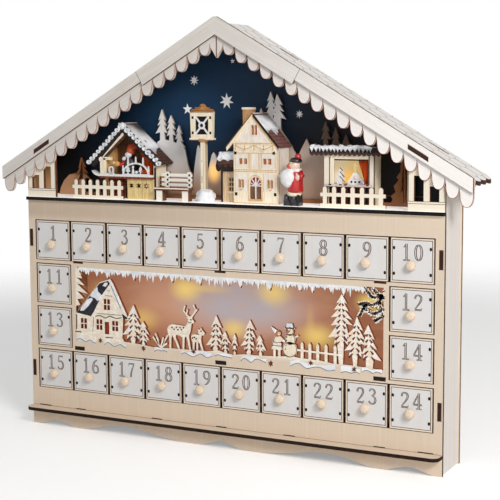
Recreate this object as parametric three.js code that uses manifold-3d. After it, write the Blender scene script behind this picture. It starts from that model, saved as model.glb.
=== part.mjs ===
// An advent calendar in the form of a gabled wooden house, cut from thin plywood.
// Twenty-four numbered drawers close the front, round a window with a fretwork winter scene.
// The open gable above them holds a small Christmas market on a white stage.
// Millimetres, Z up, the front faces -Y, and the origin is the middle of the footprint.
import * as THREE from "three";
import { mergeVertices } from "three/addons/utils/BufferGeometryUtils.js";
import Module from "manifold-3d";

// Sheets
const PLY = 3;
const FIGURE_PLY = 2;
const SLOT_GAP = 0.3;

// Case
const CASE_END = 7.4;
const CASE_DEPTH = 45;
const SIDE_INSET = 1.2;
const LEDGE_OUT = 12;
const ROOF_BACK_OUT = 9;
const LEDGE_Z = 14.6;
const LEDGE_CORNER = 6;
const STAGE_OUT = 3;

// Drawers: ten columns, four rows, and a window in place of the middle ones of rows 2 and 3
const COLUMNS = 10;
const ROWS = 4;
const FRONT_WIDTH = 36.5;
const FRONT_HEIGHT = 35.6;
const FRONT_GAP = 1.5;
const GAP_BELOW = 0.3;
const GAP_ABOVE = 0.6;
const ROW_STRIP = 2.9;
const LOWEST_FRONT_Z = 34.8;
const HEADER = 18.3;
const DRAWER_BACK_GAP = 3;
const TRAY_PLY = 2;
const TRAY_HEIGHT = 31;
const TRAY_SIDE_GAP = 0.4;
const TRAY_LIFT = 0.3;
const SHELF_RISE = 1.4;
const KNOB_RADIUS = 4;
const KNOB_OUT = 6;
const KNOB_Z = 14.2;

// Window of the winter scene and the painted sheet behind it
const SCENE_SIDE = 4.6;
const SCENE_TOP_EDGE = 3.4;
const SCENE_SILL = 0.4;
const SCENE_DEPTH = 20;

// Roof
const GABLE_RISE = 155.1;
const ROOF_SLOPE = 0.58;
const ROOF_HALF = 220.9;
const BARGE_HEIGHT = 11.4;
const CAP_HEIGHT = 15.4;
const CAP_HALF = 76.9;
const ROOF_DROP = 5.34;
const ROOF_END_INSET = 5.4;
const TONGUES = 19;
const TONGUE_HALF = 4.6;
const TONGUE_DROP = 26;
const TONGUE_SLOT_DROP = 17.5;
const CENTRE_DROP = 34.4;
const EAVE_SCALLOPS = 4;
const EAVE_SCALLOP_OUT = 3;

// Tabs that lock the sheets together
const SHELF_TAB_WIDTH = 10;
const SHELF_TAB_IN = 3.1;
const SIDE_TABS = [
  [45, 14.5],
  [165, 15],
];
const LEDGE_MIDDLE_TAB = 10;
const LEDGE_END_TABS = [
  [133.2, 10.5],
  [52.9, 10],
  [13.9, 13],
];
const ROOF_END_TAB = [43.9, 16.2];
const BACK_END_TABS = [
  [153.1, 16],
  [20.3, 15.9],
];

// Lights
const WIRE = 1;
const BEAD_RADIUS = 1.1;
const WIRE_NOTCH = 3;
const LIGHT_CHANNEL = 2.6;
const BATTERY_LENGTH = 62;
const BATTERY_DEPTH = 34;
const BATTERY_HEIGHT = 21;
const BATTERY_WALL = 2;
const BATTERY_X = 84;
const SWITCH_BLOCK = 14;
const LID_THICKNESS = 1.6;
const LIP = 1.2;
const SWITCH_SIZE = 5.4;
const SWITCH_TRAVEL = 3;

// Places that follow from the sizes above
const FACE_Y = (LEDGE_OUT - CASE_DEPTH - ROOF_BACK_OUT) / 2;
const INNER_FRONT_Y = FACE_Y + PLY;
const BACK_Y = FACE_Y + CASE_DEPTH;
const INNER_BACK_Y = BACK_Y - PLY;
const COLUMN_PITCH = FRONT_WIDTH + FRONT_GAP;
const HALF_WIDTH = (COLUMNS * COLUMN_PITCH) / 2 + CASE_END;
const SIDE_OUT_X = HALF_WIDTH - SIDE_INSET;
const SIDE_IN_X = SIDE_OUT_X - PLY;
const INSIDE_X = SIDE_IN_X - SLOT_GAP;
const RACK_Y = INNER_FRONT_Y + SLOT_GAP;
const DRAWER_LENGTH = INNER_BACK_Y - DRAWER_BACK_GAP - FACE_Y;
const ROW_PITCH = FRONT_HEIGHT + GAP_BELOW + GAP_ABOVE + ROW_STRIP;
const PANEL_TOP = rowBottom(0) + FRONT_HEIGHT + HEADER;
const STAGE_TOP = PANEL_TOP + PLY;
const RIDGE_Z = STAGE_TOP + GABLE_RISE;
const TONGUE_PITCH = (ROOF_HALF - TONGUE_HALF) / TONGUES;
const SHELF_EDGE = PLY - SHELF_RISE;
const SCALLOP_Y = FACE_Y - PLY - 0.2;
const BARGE_Y = SCALLOP_Y - PLY;
const ROOF_BACK_Y = BACK_Y + ROOF_BACK_OUT;
const ROOF_END = ROOF_HALF - ROOF_END_INSET;
const WIRE_X = columnCentre(COLUMNS - 1);
const WIRE_Y = INNER_BACK_Y - WIRE_NOTCH / 2;
const SCENE_HALF = -dividerX(1) - SCENE_SIDE;
const SCENE_BOTTOM = shelfTop(2) + SCENE_SILL;
const SCENE_TOP = shelfTop(0) - PLY - SCENE_TOP_EDGE;
const SHELF_TAB_X = SCENE_HALF - SHELF_TAB_IN;

// Tabs as distance from the middle and length, from the ends of the case and of the roof
const fromEnd = (half) => ([end, length]) => [half - end, length];
const LEDGE_TABS = [[0, LEDGE_MIDDLE_TAB], ...LEDGE_END_TABS.map(fromEnd(HALF_WIDTH))];
const BACK_TABS = BACK_END_TABS.map(fromEnd(HALF_WIDTH));
const BARGE_TAB = fromEnd(ROOF_HALF)(ROOF_END_TAB);

// Lower edge of the front plates of a row, counted from the top row
function rowBottom(row) {
  return LOWEST_FRONT_Z + (ROWS - 1 - row) * ROW_PITCH;
}

// Top of the shelf that the trays of a row slide on
function shelfTop(row) {
  return rowBottom(row) + SHELF_RISE;
}

// Middle of a drawer column, and the divider on its left
function columnCentre(column) {
  return (column - (COLUMNS - 1) / 2) * COLUMN_PITCH;
}

function dividerX(column) {
  return (column - COLUMNS / 2) * COLUMN_PITCH;
}

// Height of the barge board's upper edge, the roof's upper face and its underside
function bargeTop(x) {
  return RIDGE_Z - ROOF_SLOPE * Math.abs(x);
}

function roofTop(x) {
  return bargeTop(x) - ROOF_DROP;
}

function roofUnder(x) {
  return roofTop(x) - PLY * Math.hypot(1, ROOF_SLOPE);
}

// Outlines
function outline(points) {
  return new THREE.Shape(points.map(([x, y]) => new THREE.Vector2(x, y)));
}

function rectangle(left, low, right, high) {
  return outline([
    [left, low],
    [right, low],
    [right, high],
    [left, high],
  ]);
}

function mirrored(points) {
  return points.map(([x, y]) => [-x, y]);
}

function disc(x, y, radius, steps = 10) {
  const points = [];
  for (let i = 0; i < steps; i += 1) {
    const angle = (2 * Math.PI * i) / steps;
    points.push([x + radius * Math.cos(angle), y + radius * Math.sin(angle)]);
  }
  return outline(points);
}

function star(x, y, radius, spikes, waist = 0.42) {
  const points = [];
  for (let i = 0; i < 2 * spikes; i += 1) {
    const angle = Math.PI / 2 + (Math.PI * i) / spikes;
    const reach = i % 2 ? radius * waist : radius;
    points.push([x + reach * Math.cos(angle), y + reach * Math.sin(angle)]);
  }
  return outline(points);
}

// A strip of one width along a line of points
function ribbon(points, width) {
  const left = [];
  const right = [];
  points.forEach(([x, y], i) => {
    const before = points[Math.max(i - 1, 0)];
    const after = points[Math.min(i + 1, points.length - 1)];
    const along = Math.hypot(after[0] - before[0], after[1] - before[1]);
    const dx = ((after[1] - before[1]) / along) * (width / 2);
    const dy = ((after[0] - before[0]) / along) * (width / 2);
    left.push([x - dx, y + dy]);
    right.unshift([x + dx, y - dy]);
  });
  return outline([...left, ...right]);
}

// A window or door with a round head
function archway(left, low, right, high, steps = 4) {
  const radius = (right - left) / 2;
  const points = [
    [left, low],
    [right, low],
  ];
  for (let i = 0; i <= steps; i += 1) {
    const angle = (Math.PI * i) / steps;
    points.push([
      (left + right) / 2 + radius * Math.cos(angle),
      high - radius + radius * Math.sin(angle),
    ]);
  }
  return outline(points);
}

// A fir with drooping branches, each given by its left and right tips from the top down
function fir(peak, base, tips, trunk = 1.6) {
  const axis = (z) =>
    base[0] + ((peak[0] - base[0]) * (z - base[1])) / (peak[1] - base[1]);
  const side = (sign) => {
    const points = [];
    tips.forEach(([left, leftZ, right, rightZ]) => {
      const x = sign < 0 ? left : right;
      const z = sign < 0 ? leftZ : rightZ;
      points.push([x, z]);
      points.push([axis(z) + (x - axis(z)) * 0.36, z + 1.3]);
    });
    return points;
  };
  return outline([
    peak,
    ...side(1),
    [base[0] + trunk, base[1] - 2],
    [base[0] - trunk, base[1] - 2],
    ...side(-1).reverse(),
  ]);
}

// Sheets: standing across the front, lying level, or standing along the side
function upright(shape, front, thickness) {
  const geometry = new THREE.ExtrudeGeometry(shape, {
    depth: thickness,
    bevelEnabled: false,
    curveSegments: 6,
  });
  geometry.rotateX(Math.PI / 2);
  geometry.translate(0, front + thickness, 0);
  return geometry;
}

function level(shape, bottom, thickness) {
  const geometry = new THREE.ExtrudeGeometry(shape, {
    depth: thickness,
    bevelEnabled: false,
    curveSegments: 6,
  });
  geometry.translate(0, 0, bottom);
  return geometry;
}

function sideways(shape, left, thickness) {
  const geometry = new THREE.ExtrudeGeometry(shape, {
    depth: thickness,
    bevelEnabled: false,
    curveSegments: 6,
  });
  const turn = new THREE.Matrix4().makeBasis(
    new THREE.Vector3(0, 1, 0),
    new THREE.Vector3(0, 0, 1),
    new THREE.Vector3(1, 0, 0),
  );
  geometry.applyMatrix4(turn);
  geometry.translate(left, 0, 0);
  return geometry;
}

function block(x0, y0, z0, x1, y1, z1) {
  const geometry = new THREE.BoxGeometry(x1 - x0, y1 - y0, z1 - z0);
  geometry.translate((x0 + x1) / 2, (y0 + y1) / 2, (z0 + z1) / 2);
  return solid(geometry);
}

function ball(x, y, z, radius, steps = 8) {
  const geometry = new THREE.SphereGeometry(radius, steps, Math.round(steps * 0.7));
  geometry.translate(x, y, z);
  return solid(geometry);
}

// A round piece turned about the vertical through x, y, from pairs of radius and height
function turned(x, y, profile, steps = 8) {
  const points = profile.map(([radius, z]) => new THREE.Vector2(radius, z));
  const geometry = new THREE.LatheGeometry(points, steps);
  geometry.rotateX(Math.PI / 2);
  geometry.translate(x, y, 0);
  return solid(geometry);
}

// Solids
const wasm = await Module();
wasm.setup();

function solid(geometry) {
  const bare = geometry.clone();
  bare.deleteAttribute("normal");
  bare.deleteAttribute("uv");
  const merged = mergeVertices(bare, 1e-4);
  const corners = merged.index.array;
  const faces = [];
  for (let i = 0; i < corners.length; i += 3) {
    const [a, b, c] = [corners[i], corners[i + 1], corners[i + 2]];
    if (a !== b && b !== c && c !== a) {
      faces.push(a, b, c);
    }
  }
  const mesh = new wasm.Mesh({
    numProp: 3,
    vertProperties: merged.attributes.position.array,
    triVerts: new Uint32Array(faces),
  });
  return new wasm.Manifold(mesh);
}

function joined(bodies) {
  return bodies.reduce((whole, body) => whole.add(body));
}

function surface(body) {
  const mesh = body.getMesh();
  const geometry = new THREE.BufferGeometry();
  const points = new THREE.BufferAttribute(new Float32Array(mesh.vertProperties), 3);
  geometry.setAttribute("position", points);
  geometry.setIndex(new THREE.BufferAttribute(new Uint32Array(mesh.triVerts), 1));
  geometry.computeVertexNormals();
  return geometry;
}

// One sheet from its outlines and the holes cut through it
function sheet(lay, at, thickness, outlines, holes = []) {
  const plates = outlines.map((shape) => solid(lay(shape, at, thickness)));
  return holes.reduce(
    (rest, shape) => rest.subtract(solid(lay(shape, at - 1, thickness + 2))),
    joined(plates),
  );
}

const NATURAL = { color: 0xdcc49c, roughness: 0.75, metalness: 0 };
const WHITEWASH = { color: 0xd9d5d0, roughness: 0.8, metalness: 0 };
const WARM_WHITE = { color: 0xf1e8d8, roughness: 0.7, metalness: 0 };
const NIGHT_BLUE = { color: 0x223a5c, roughness: 0.6, metalness: 0 };
const DUSK = { color: 0xb08468, roughness: 0.7, metalness: 0 };
const BARK = { color: 0x8a5a3a, roughness: 0.8, metalness: 0 };
const RED = { color: 0xb22018, roughness: 0.45, metalness: 0 };
const BLACK = { color: 0x1c1c1e, roughness: 0.5, metalness: 0 };
const GLOW = { color: 0xffe2a0, roughness: 0.3, metalness: 0 };

const calendar = new THREE.Group();

function place(name, body, finish, parent = calendar) {
  const geometry = body.isBufferGeometry ? body : surface(body);
  const mesh = new THREE.Mesh(geometry, new THREE.MeshStandardMaterial(finish));
  mesh.name = name;
  parent.add(mesh);
  return mesh;
}

// Drawers: a tray of thin sheet behind a square front with a turned wooden knob.
// Each is made round the lower middle of its own front and stands in its place in the case.
const trayBottom = SHELF_RISE + TRAY_LIFT;
const trayHalf = (COLUMN_PITCH - PLY) / 2 - TRAY_SIDE_GAP;

function drawerBody() {
  const front = block(-FRONT_WIDTH / 2, 0, 0, FRONT_WIDTH / 2, PLY, FRONT_HEIGHT);
  const box = block(
    -trayHalf,
    PLY - 0.5,
    trayBottom,
    trayHalf,
    DRAWER_LENGTH,
    trayBottom + TRAY_HEIGHT,
  );
  const inside = block(
    -trayHalf + TRAY_PLY,
    PLY,
    trayBottom + TRAY_PLY,
    trayHalf - TRAY_PLY,
    DRAWER_LENGTH - TRAY_PLY,
    trayBottom + TRAY_HEIGHT + 1,
  );
  const profile = [
    [0, -1],
    [0.6 * KNOB_RADIUS, -1],
    [0.6 * KNOB_RADIUS, 0.08 * KNOB_OUT],
    [KNOB_RADIUS, 0.4 * KNOB_OUT],
    [0.85 * KNOB_RADIUS, 0.8 * KNOB_OUT],
    [0, KNOB_OUT],
  ];
  const points = profile.map(([radius, out]) => new THREE.Vector2(radius, out));
  const knob = new THREE.LatheGeometry(points, 8);
  knob.rotateZ(Math.PI);
  knob.translate(0, 0, KNOB_Z);
  return surface(front.add(box.subtract(inside)).add(solid(knob)));
}

// Numbers run along the rows, with the window between the outer drawers of rows 2 and 3
const drawerPlaces = [];
for (let row = 0; row < ROWS; row += 1) {
  const full = row === 0 || row === ROWS - 1;
  if (full) {
    for (let column = 0; column < COLUMNS; column += 1) {
      drawerPlaces.push([column, row]);
    }
  } else {
    drawerPlaces.push([0, row], [COLUMNS - 1, row]);
  }
}
const drawerGeometry = drawerBody();
drawerPlaces.forEach(([column, row], i) => {
  const name = `drawer_${String(i + 1).padStart(2, "0")}`;
  const drawer = place(name, drawerGeometry, WHITEWASH);
  drawer.position.set(columnCentre(column), FACE_Y, rowBottom(row));
});

// Front panel: openings for the fronts, slots for the tabs, and a waved apron at the floor
function openingLow(row) {
  return rowBottom(row) - GAP_BELOW;
}

function openingHigh(row) {
  return rowBottom(row) + FRONT_HEIGHT + GAP_ABOVE;
}

function frontOpenings() {
  const openings = [];
  for (let row = 0; row < ROWS; row += 1) {
    const low = openingLow(row);
    const high = openingHigh(row);
    if (row === 0 || row === ROWS - 1) {
      openings.push(rectangle(dividerX(0), low, dividerX(COLUMNS), high));
    } else {
      openings.push(rectangle(dividerX(0), low, dividerX(1), high));
      openings.push(rectangle(dividerX(COLUMNS - 1), low, dividerX(COLUMNS), high));
    }
  }
  openings.push(rectangle(-SCENE_HALF, SCENE_BOTTOM, SCENE_HALF, SCENE_TOP));
  return openings;
}

const shelfTabs = [-SHELF_TAB_X, 0, SHELF_TAB_X];

function frontSlots() {
  const slots = [];
  shelfTabs.forEach((x) => {
    const left = x - SHELF_TAB_WIDTH / 2 - SLOT_GAP;
    const right = x + SHELF_TAB_WIDTH / 2 + SLOT_GAP;
    slots.push(
      rectangle(left, shelfTop(0) - PLY - SLOT_GAP, right, openingLow(0) + 1),
      rectangle(left, shelfTop(2) - PLY - SLOT_GAP, right, shelfTop(2) + SLOT_GAP),
    );
  });
  [-1, 1].forEach((side) => {
    SIDE_TABS.forEach(([low, length]) => {
      const inner = side * (SIDE_IN_X - SLOT_GAP);
      const outer = side * (SIDE_OUT_X + SLOT_GAP);
      slots.push(rectangle(inner, low - SLOT_GAP, outer, low + length + SLOT_GAP));
    });
    LEDGE_TABS.forEach(([x, width]) => {
      const left = side * x - width / 2 - SLOT_GAP;
      const right = side * x + width / 2 + SLOT_GAP;
      slots.push(rectangle(left, LEDGE_Z - SLOT_GAP, right, LEDGE_Z + PLY + SLOT_GAP));
    });
  });
  return slots;
}

// The apron's wave, from the middle out to the foot at the corner
const APRON = [
  [10, 3],
  [20, 0.5],
  [28, 0],
  [38, 0.2],
  [50, 1.6],
  [65, 3.2],
  [82, 6.2],
  [99, 7.6],
  [115, 5.8],
  [128, 2.4],
  [140, 0.2],
  [145, 0],
  [150, 0.3],
  [160, 3.2],
  [171, 5.4],
  [181, 2.8],
  [190, 0],
];
const APRON_SPAN = 197.4;
const apronWave = APRON.map(([x, z]) => [(x * HALF_WIDTH) / APRON_SPAN, z]);
const panelOutline = outline([
  [0, 6.8],
  ...apronWave,
  [HALF_WIDTH, 0],
  [HALF_WIDTH, PANEL_TOP],
  [-HALF_WIDTH, PANEL_TOP],
  [-HALF_WIDTH, 0],
  ...mirrored(apronWave).reverse(),
]);

// The winter scene is drawn in units of its own, from the middle of the window's sill.
// Its drawing is 293.6 units wide and 72 high, and these scales fit it to the window.
const artX = (2 * SCENE_HALF) / 293.6;
const artZ = (SCENE_TOP - SCENE_BOTTOM) / 72;

function groundArt() {
  return outline([
    [-150, -2],
    [-150, 14.5],
    [-118, 14],
    [-112, 12.6],
    [-100, 14],
    [-96.5, 8],
    [-88.4, 7.7],
    [-73.9, 6.6],
    [-67, 5.8],
    [-51, 6.3],
    [-13.7, 6.8],
    [-1.8, 8.5],
    [9.2, 5.5],
    [22.4, 7.4],
    [36, 7.5],
    [52, 8.2],
    [66, 9.6],
    [73.4, 8.8],
    [93.5, 8.2],
    [103.8, 6.7],
    [117, 6.9],
    [129.2, 6.3],
    [150, 5.2],
    [150, -2],
  ]);
}

function icicleArt() {
  const drops = [3.2, 5, 2.6, 6.4, 3.6, 7.4, 3, 4.2, 5.6, 3.4, 8, 2.8];
  const pitch = 5.5;
  const start = -143.5;
  const count = 50;
  const points = [
    [start, 74],
    [start, 70.8],
  ];
  for (let i = 0; i < count; i += 1) {
    const x = start + pitch * i;
    points.push([x + pitch * 0.55, 70.8 - drops[i % drops.length]]);
    points.push([x + pitch, 70.8]);
  }
  points.push([start + pitch * count, 74]);
  return outline(points);
}

function cornerTreeArt() {
  return outline([
    [-149, 74],
    [-144.4, 71.4],
    [-139.7, 61.9],
    [-145.4, 62.6],
    [-137.1, 55.7],
    [-145.4, 57],
    [-133.9, 48.4],
    [-145.4, 50.4],
    [-138.1, 44.1],
    [-145.4, 43],
    [-142.4, 38],
    [-149, 36],
  ]);
}

function pineBranchArt() {
  const twigs = [
    [[149, 72], [143.5, 60], [147, 50], [150, 44]],
    [[144, 61], [138, 57.5], [131, 58.5], [126, 57]],
    [[146, 66], [139, 63.5], [134, 67], [130, 73]],
    [[149, 62], [141, 67.5], [137, 73]],
    [[150, 57], [144, 53], [138, 50.5], [129, 55]],
    [[150, 51], [144, 47.5], [139.5, 45]],
    [[133, 58], [129.5, 53.5], [126.5, 48]],
    [[150, 67], [145, 63]],
  ];
  return twigs.map((points) => ribbon(points, 2.2));
}

function cottageArt() {
  return outline([
    [-149, 12],
    [-148, 30],
    [-146.4, 30.8],
    [-121.4, 59.5],
    [-109.9, 63.1],
    [-106.8, 58.8],
    [-91.4, 28.2],
    [-94.4, 27.4],
    [-97.2, 31.5],
    [-98.2, 12],
  ]);
}

function cottageWindows() {
  const panes = [];
  const windows = [
    [-117.2, 35.2, -110.8, 45],
    [-142, 16.6, -135.6, 26],
    [-125.4, 16.8, -119.2, 26.2],
    [-108.8, 16.8, -102.6, 25.8],
  ];
  windows.forEach(([left, low, right, high]) => {
    const bar = 0.45;
    const x = (left + right) / 2;
    const z = (low + high) / 2;
    panes.push(rectangle(left, low, x - bar, z - bar));
    panes.push(rectangle(x + bar, low, right, z - bar));
    panes.push(rectangle(left, z + bar, x - bar, high));
    panes.push(rectangle(x + bar, z + bar, right, high));
  });
  panes.push(rectangle(-116.6, 13.4, -112, 24.4));
  return panes;
}

function stagArt() {
  const stag = [
    [-25.4, 31.6],
    [-26.2, 30.2],
    [-28, 29.6],
    [-28.4, 27],
    [-29.2, 22.6],
    [-30.8, 18.8],
    [-30.4, 15],
    [-28.8, 6],
    [-30.5, 6],
    [-32.3, 14.8],
    [-33.6, 18],
    [-35.1, 16.6],
    [-35.6, 6],
    [-37.3, 6],
    [-37.1, 16.6],
    [-40, 18.3],
    [-43.6, 18.6],
    [-44, 16],
    [-41.8, 12],
    [-39.7, 6],
    [-41.4, 6],
    [-44, 12],
    [-46.8, 16.6],
    [-47.6, 18.4],
    [-48.3, 14.6],
    [-48.6, 6],
    [-50.3, 6],
    [-50.4, 15.4],
    [-51.8, 19.6],
    [-52.3, 23.4],
    [-50.6, 26.2],
    [-47.2, 27.6],
    [-40.5, 27.4],
    [-34.6, 27],
    [-32.4, 29],
    [-31.3, 33],
    [-33.4, 35.2],
    [-30.4, 35.4],
    [-29.2, 36],
    [-26.4, 36.6],
    [-27.6, 33.8],
  ];
  const antlers = [
    [[-29.8, 34.8], [-33.2, 37.2], [-35.8, 40.2], [-34.4, 44.8]],
    [[-33.2, 37.2], [-31.8, 41.6]],
    [[-29, 35], [-26, 37.8], [-24, 41.6], [-26.2, 46]],
    [[-26, 37.8], [-22.4, 42.4]],
  ];
  return [outline(stag), ...antlers.map((points) => ribbon(points, 1.3))];
}

function fawnArt() {
  return outline([
    [-15, 22.2],
    [-16.2, 20.6],
    [-18.4, 19.8],
    [-18.9, 16.4],
    [-18.5, 13],
    [-16.2, 6],
    [-17.8, 6],
    [-20.3, 12.8],
    [-21.8, 14.2],
    [-22, 6],
    [-23.4, 6],
    [-23.6, 13.8],
    [-25.1, 13.8],
    [-25.7, 6],
    [-27.2, 6],
    [-27.3, 13.4],
    [-28.9, 17.2],
    [-28, 19.8],
    [-25.2, 20.6],
    [-22.4, 20.2],
    [-21.4, 22.8],
    [-22, 25.4],
    [-19.8, 24.8],
    [-18.8, 27],
    [-17.8, 25],
  ]);
}

function childArt() {
  return [
    disc(53.6, 27.4, 2.9, 10),
    outline([
      [51.4, 27.4],
      [47.4, 33.4],
      [54, 29.8],
    ]),
    outline([
      [51, 25.6],
      [56, 25.6],
      [60.5, 22],
      [60, 20.6],
      [56.6, 21.4],
      [57.4, 14],
      [48, 14],
      [49, 21],
    ]),
    rectangle(49.6, 6, 51.8, 15),
    rectangle(54, 6, 56.2, 15),
  ];
}

function snowmanArt() {
  return [
    disc(64.8, 15.2, 7),
    disc(65.2, 23.8, 4.9),
    disc(64.8, 30.4, 3.6, 10),
    rectangle(59.6, 32.4, 69.4, 33.6),
    outline([
      [61.2, 33],
      [68, 33],
      [67, 37],
      [62.4, 37],
    ]),
    ribbon([[68, 24.6], [72.4, 27.4]], 1.4),
  ];
}

function bushArt() {
  const foot = [-59, 6];
  const tips = [
    [-67, 15],
    [-64.4, 18.4],
    [-61.8, 13],
    [-56.4, 15.4],
    [-51.8, 17.6],
    [-52.6, 10.4],
  ];
  return tips.map((tip) => ribbon([foot, tip], 1.5));
}

function sceneFenceArt() {
  const pickets = [75.8, 82.8, 89.8, 97.2, 105.2].map((x) =>
    outline([
      [x - 1.3, 6],
      [x + 1.3, 6],
      [x + 1.3, 20.4],
      [x, 22.4],
      [x - 1.3, 20.4],
    ]),
  );
  return [...pickets, ribbon([[70, 15.4], [112, 14.2]], 1.6)];
}

function sceneFirs() {
  return [
    fir([-86.4, 41.9], [-87, 9], [
      [-93.3, 29, -80.7, 29.9],
      [-96.1, 22.5, -78.6, 22.4],
      [-98.2, 14.3, -78.6, 16.8],
    ]),
    fir([-76.8, 27.9], [-76.6, 8], [
      [-80.6, 22.4, -73, 22.2],
      [-82, 16, -70.6, 16.4],
      [-80, 10.4, -70.4, 11.2],
    ], 1.3),
    fir([-4.1, 38.7], [-4.8, 8], [
      [-9, 27.8, 1.3, 28],
      [-9.9, 21.1, 1.6, 21.6],
      [-14.1, 12.1, 1.6, 14.2],
    ]),
    fir([4.2, 25.5], [4.8, 7], [
      [0.6, 20, 7, 20.4],
      [-0.6, 14, 10, 15.2],
    ], 1.2),
    fir([13.4, 24.3], [13.3, 7], [
      [11.2, 19, 15.6, 19],
      [10.2, 13.4, 16.6, 13.4],
    ], 1),
    fir([28, 37.2], [26.7, 8], [
      [23.2, 27.7, 33, 28.5],
      [21.4, 21, 33.4, 22],
      [18.8, 14.3, 32, 15],
    ]),
    fir([36.9, 25.1], [37.7, 8], [
      [33.4, 19, 40.2, 19.4],
      [33.2, 12.2, 43, 12],
    ], 1.2),
    fir([110.9, 64.5], [110.4, 7], [
      [106.2, 56.8, 115.6, 56.7],
      [104, 51.2, 117, 50.7],
      [101.3, 44.8, 120, 44.2],
      [101.3, 38.1, 120.6, 39.5],
      [99, 28.3, 117.6, 29.4],
    ]),
    fir([124, 47.2], [122.7, 7], [
      [120.6, 37, 129.3, 36.1],
      [114.6, 31, 131, 28.8],
      [113.6, 25.4, 131.5, 24.4],
      [113.2, 18.4, 128.6, 17],
    ], 1.4),
    fir([133.7, 41.2], [134.9, 6.6], [
      [129.8, 32.8, 139.3, 29.5],
      [129.4, 24.6, 141.4, 21.6],
      [128.2, 17, 145.4, 12.6],
    ], 3),
  ];
}

function sceneStars() {
  const places = [
    [-121.5, 7.5],
    [-77.1, 4.1],
    [-26.7, 4.9],
    [47.5, 2.4],
    [84.1, 4.4],
    [122.6, 3.4],
  ];
  return places.map(([x, z]) => star(x, z, 2.4, 5));
}

// Fits a body drawn for the art's window to the window of the panel
function fitted(body) {
  const geometry = surface(body);
  geometry.translate(0, -FACE_Y, 0);
  geometry.scale(artX, 1, artZ);
  geometry.translate(0, FACE_Y, SCENE_BOTTOM);
  return solid(geometry);
}

function fretwork() {
  const shapes = [
    groundArt(),
    icicleArt(),
    cornerTreeArt(),
    ...pineBranchArt(),
    cottageArt(),
    ...stagArt(),
    fawnArt(),
    ...childArt(),
    ...snowmanArt(),
    ...bushArt(),
    ...sceneFenceArt(),
    ...sceneFirs(),
  ];
  return fitted(sheet(upright, FACE_Y, PLY, shapes, cottageWindows()));
}

const starHoles = fitted(sheet(upright, FACE_Y - 1, PLY + 2, sceneStars()));
const frontPanel = sheet(upright, FACE_Y, PLY, [panelOutline], frontOpenings());
const slotCuts = sheet(upright, FACE_Y - 1, PLY + 2, frontSlots());
place("front_panel", frontPanel.add(fretwork()).subtract(slotCuts.add(starHoles)), NATURAL);

// Side panels run from the floor to the roof, with tabs that show in the front
function sidePanel(side) {
  const inner = SIDE_IN_X;
  const outer = SIDE_OUT_X;
  const corners = [
    [side * inner, 0],
    [side * outer, 0],
    [side * outer, roofUnder(outer) - SLOT_GAP],
    [side * inner, roofUnder(inner) - SLOT_GAP],
  ];
  const depth = CASE_DEPTH - 2 * PLY;
  const board = solid(upright(outline(corners), INNER_FRONT_Y, depth));
  const left = Math.min(side * inner, side * outer);
  const tabs = SIDE_TABS.map(([low, length]) =>
    block(left, FACE_Y, low, left + PLY, INNER_FRONT_Y + 1, low + length),
  );
  return joined([board, ...tabs]);
}

place("side_panel_left", sidePanel(-1), WHITEWASH);
place("side_panel_right", sidePanel(1), WHITEWASH);

// The back panel fills the gable, and its tabs come up through the roof
function gable(half, bottom) {
  return [
    [half, bottom],
    [half, roofUnder(half) - SLOT_GAP],
    [0, roofUnder(0) - SLOT_GAP],
    [-half, roofUnder(half) - SLOT_GAP],
    [-half, bottom],
  ];
}

function roofTab(side, [x, width], grow) {
  const near = x - width / 2 - grow;
  const far = x + width / 2 + grow;
  return outline([
    [side * near, roofTop(near) + (grow ? 2 : 0)],
    [side * far, roofTop(far) + (grow ? 2 : 0)],
    [side * far, roofUnder(far) - 2],
    [side * near, roofUnder(near) - 2],
  ]);
}

const backTabs = [-1, 1].flatMap((side) => BACK_TABS.map((tab) => roofTab(side, tab, 0)));
const backOutlines = [outline(gable(HALF_WIDTH, 0)), ...backTabs];
place("back_panel", sheet(upright, INNER_BACK_Y, PLY, backOutlines), NATURAL);

// The stage floor lies on the front panel and stands out a little before it
const wireHoleY = INNER_BACK_Y - PLY - LIGHT_CHANNEL / 2;
const stageOutline = outline([
  [-HALF_WIDTH, FACE_Y - STAGE_OUT],
  [HALF_WIDTH, FACE_Y - STAGE_OUT],
  [HALF_WIDTH, INNER_FRONT_Y - SLOT_GAP],
  [INSIDE_X, INNER_FRONT_Y - SLOT_GAP],
  [INSIDE_X, INNER_BACK_Y],
  [-INSIDE_X, INNER_BACK_Y],
  [-INSIDE_X, INNER_FRONT_Y - SLOT_GAP],
  [-HALF_WIDTH, INNER_FRONT_Y - SLOT_GAP],
]);
const wireHole = disc(WIRE_X, wireHoleY, 1.2, 8);
place("stage_floor", sheet(level, PANEL_TOP, PLY, [stageOutline], [wireHole]), WHITEWASH);

// The ledge runs along the foot of the front, rounded at its two outer corners
function ledgeOutline() {
  const front = FACE_Y - LEDGE_OUT;
  const shape = new THREE.Shape();
  shape.moveTo(-HALF_WIDTH, FACE_Y);
  shape.lineTo(-HALF_WIDTH, front + LEDGE_CORNER);
  shape.absarc(
    -HALF_WIDTH + LEDGE_CORNER,
    front + LEDGE_CORNER,
    LEDGE_CORNER,
    Math.PI,
    1.5 * Math.PI,
    false,
  );
  shape.lineTo(HALF_WIDTH - LEDGE_CORNER, front);
  shape.absarc(
    HALF_WIDTH - LEDGE_CORNER,
    front + LEDGE_CORNER,
    LEDGE_CORNER,
    1.5 * Math.PI,
    2 * Math.PI,
    false,
  );
  shape.lineTo(HALF_WIDTH, FACE_Y);
  return shape;
}

const ledgeTabs = [-1, 1].flatMap((side) =>
  LEDGE_TABS.map(([x, width]) =>
    rectangle(side * x - width / 2, FACE_Y - 1, side * x + width / 2, INNER_FRONT_Y),
  ),
);
place("base_ledge", sheet(level, LEDGE_Z, PLY, [ledgeOutline(), ...ledgeTabs]), NATURAL);

// Racks: a shelf with upright dividers between the trays, notched behind for the wire
const rackDepth = INNER_BACK_Y - RACK_Y;

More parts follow.
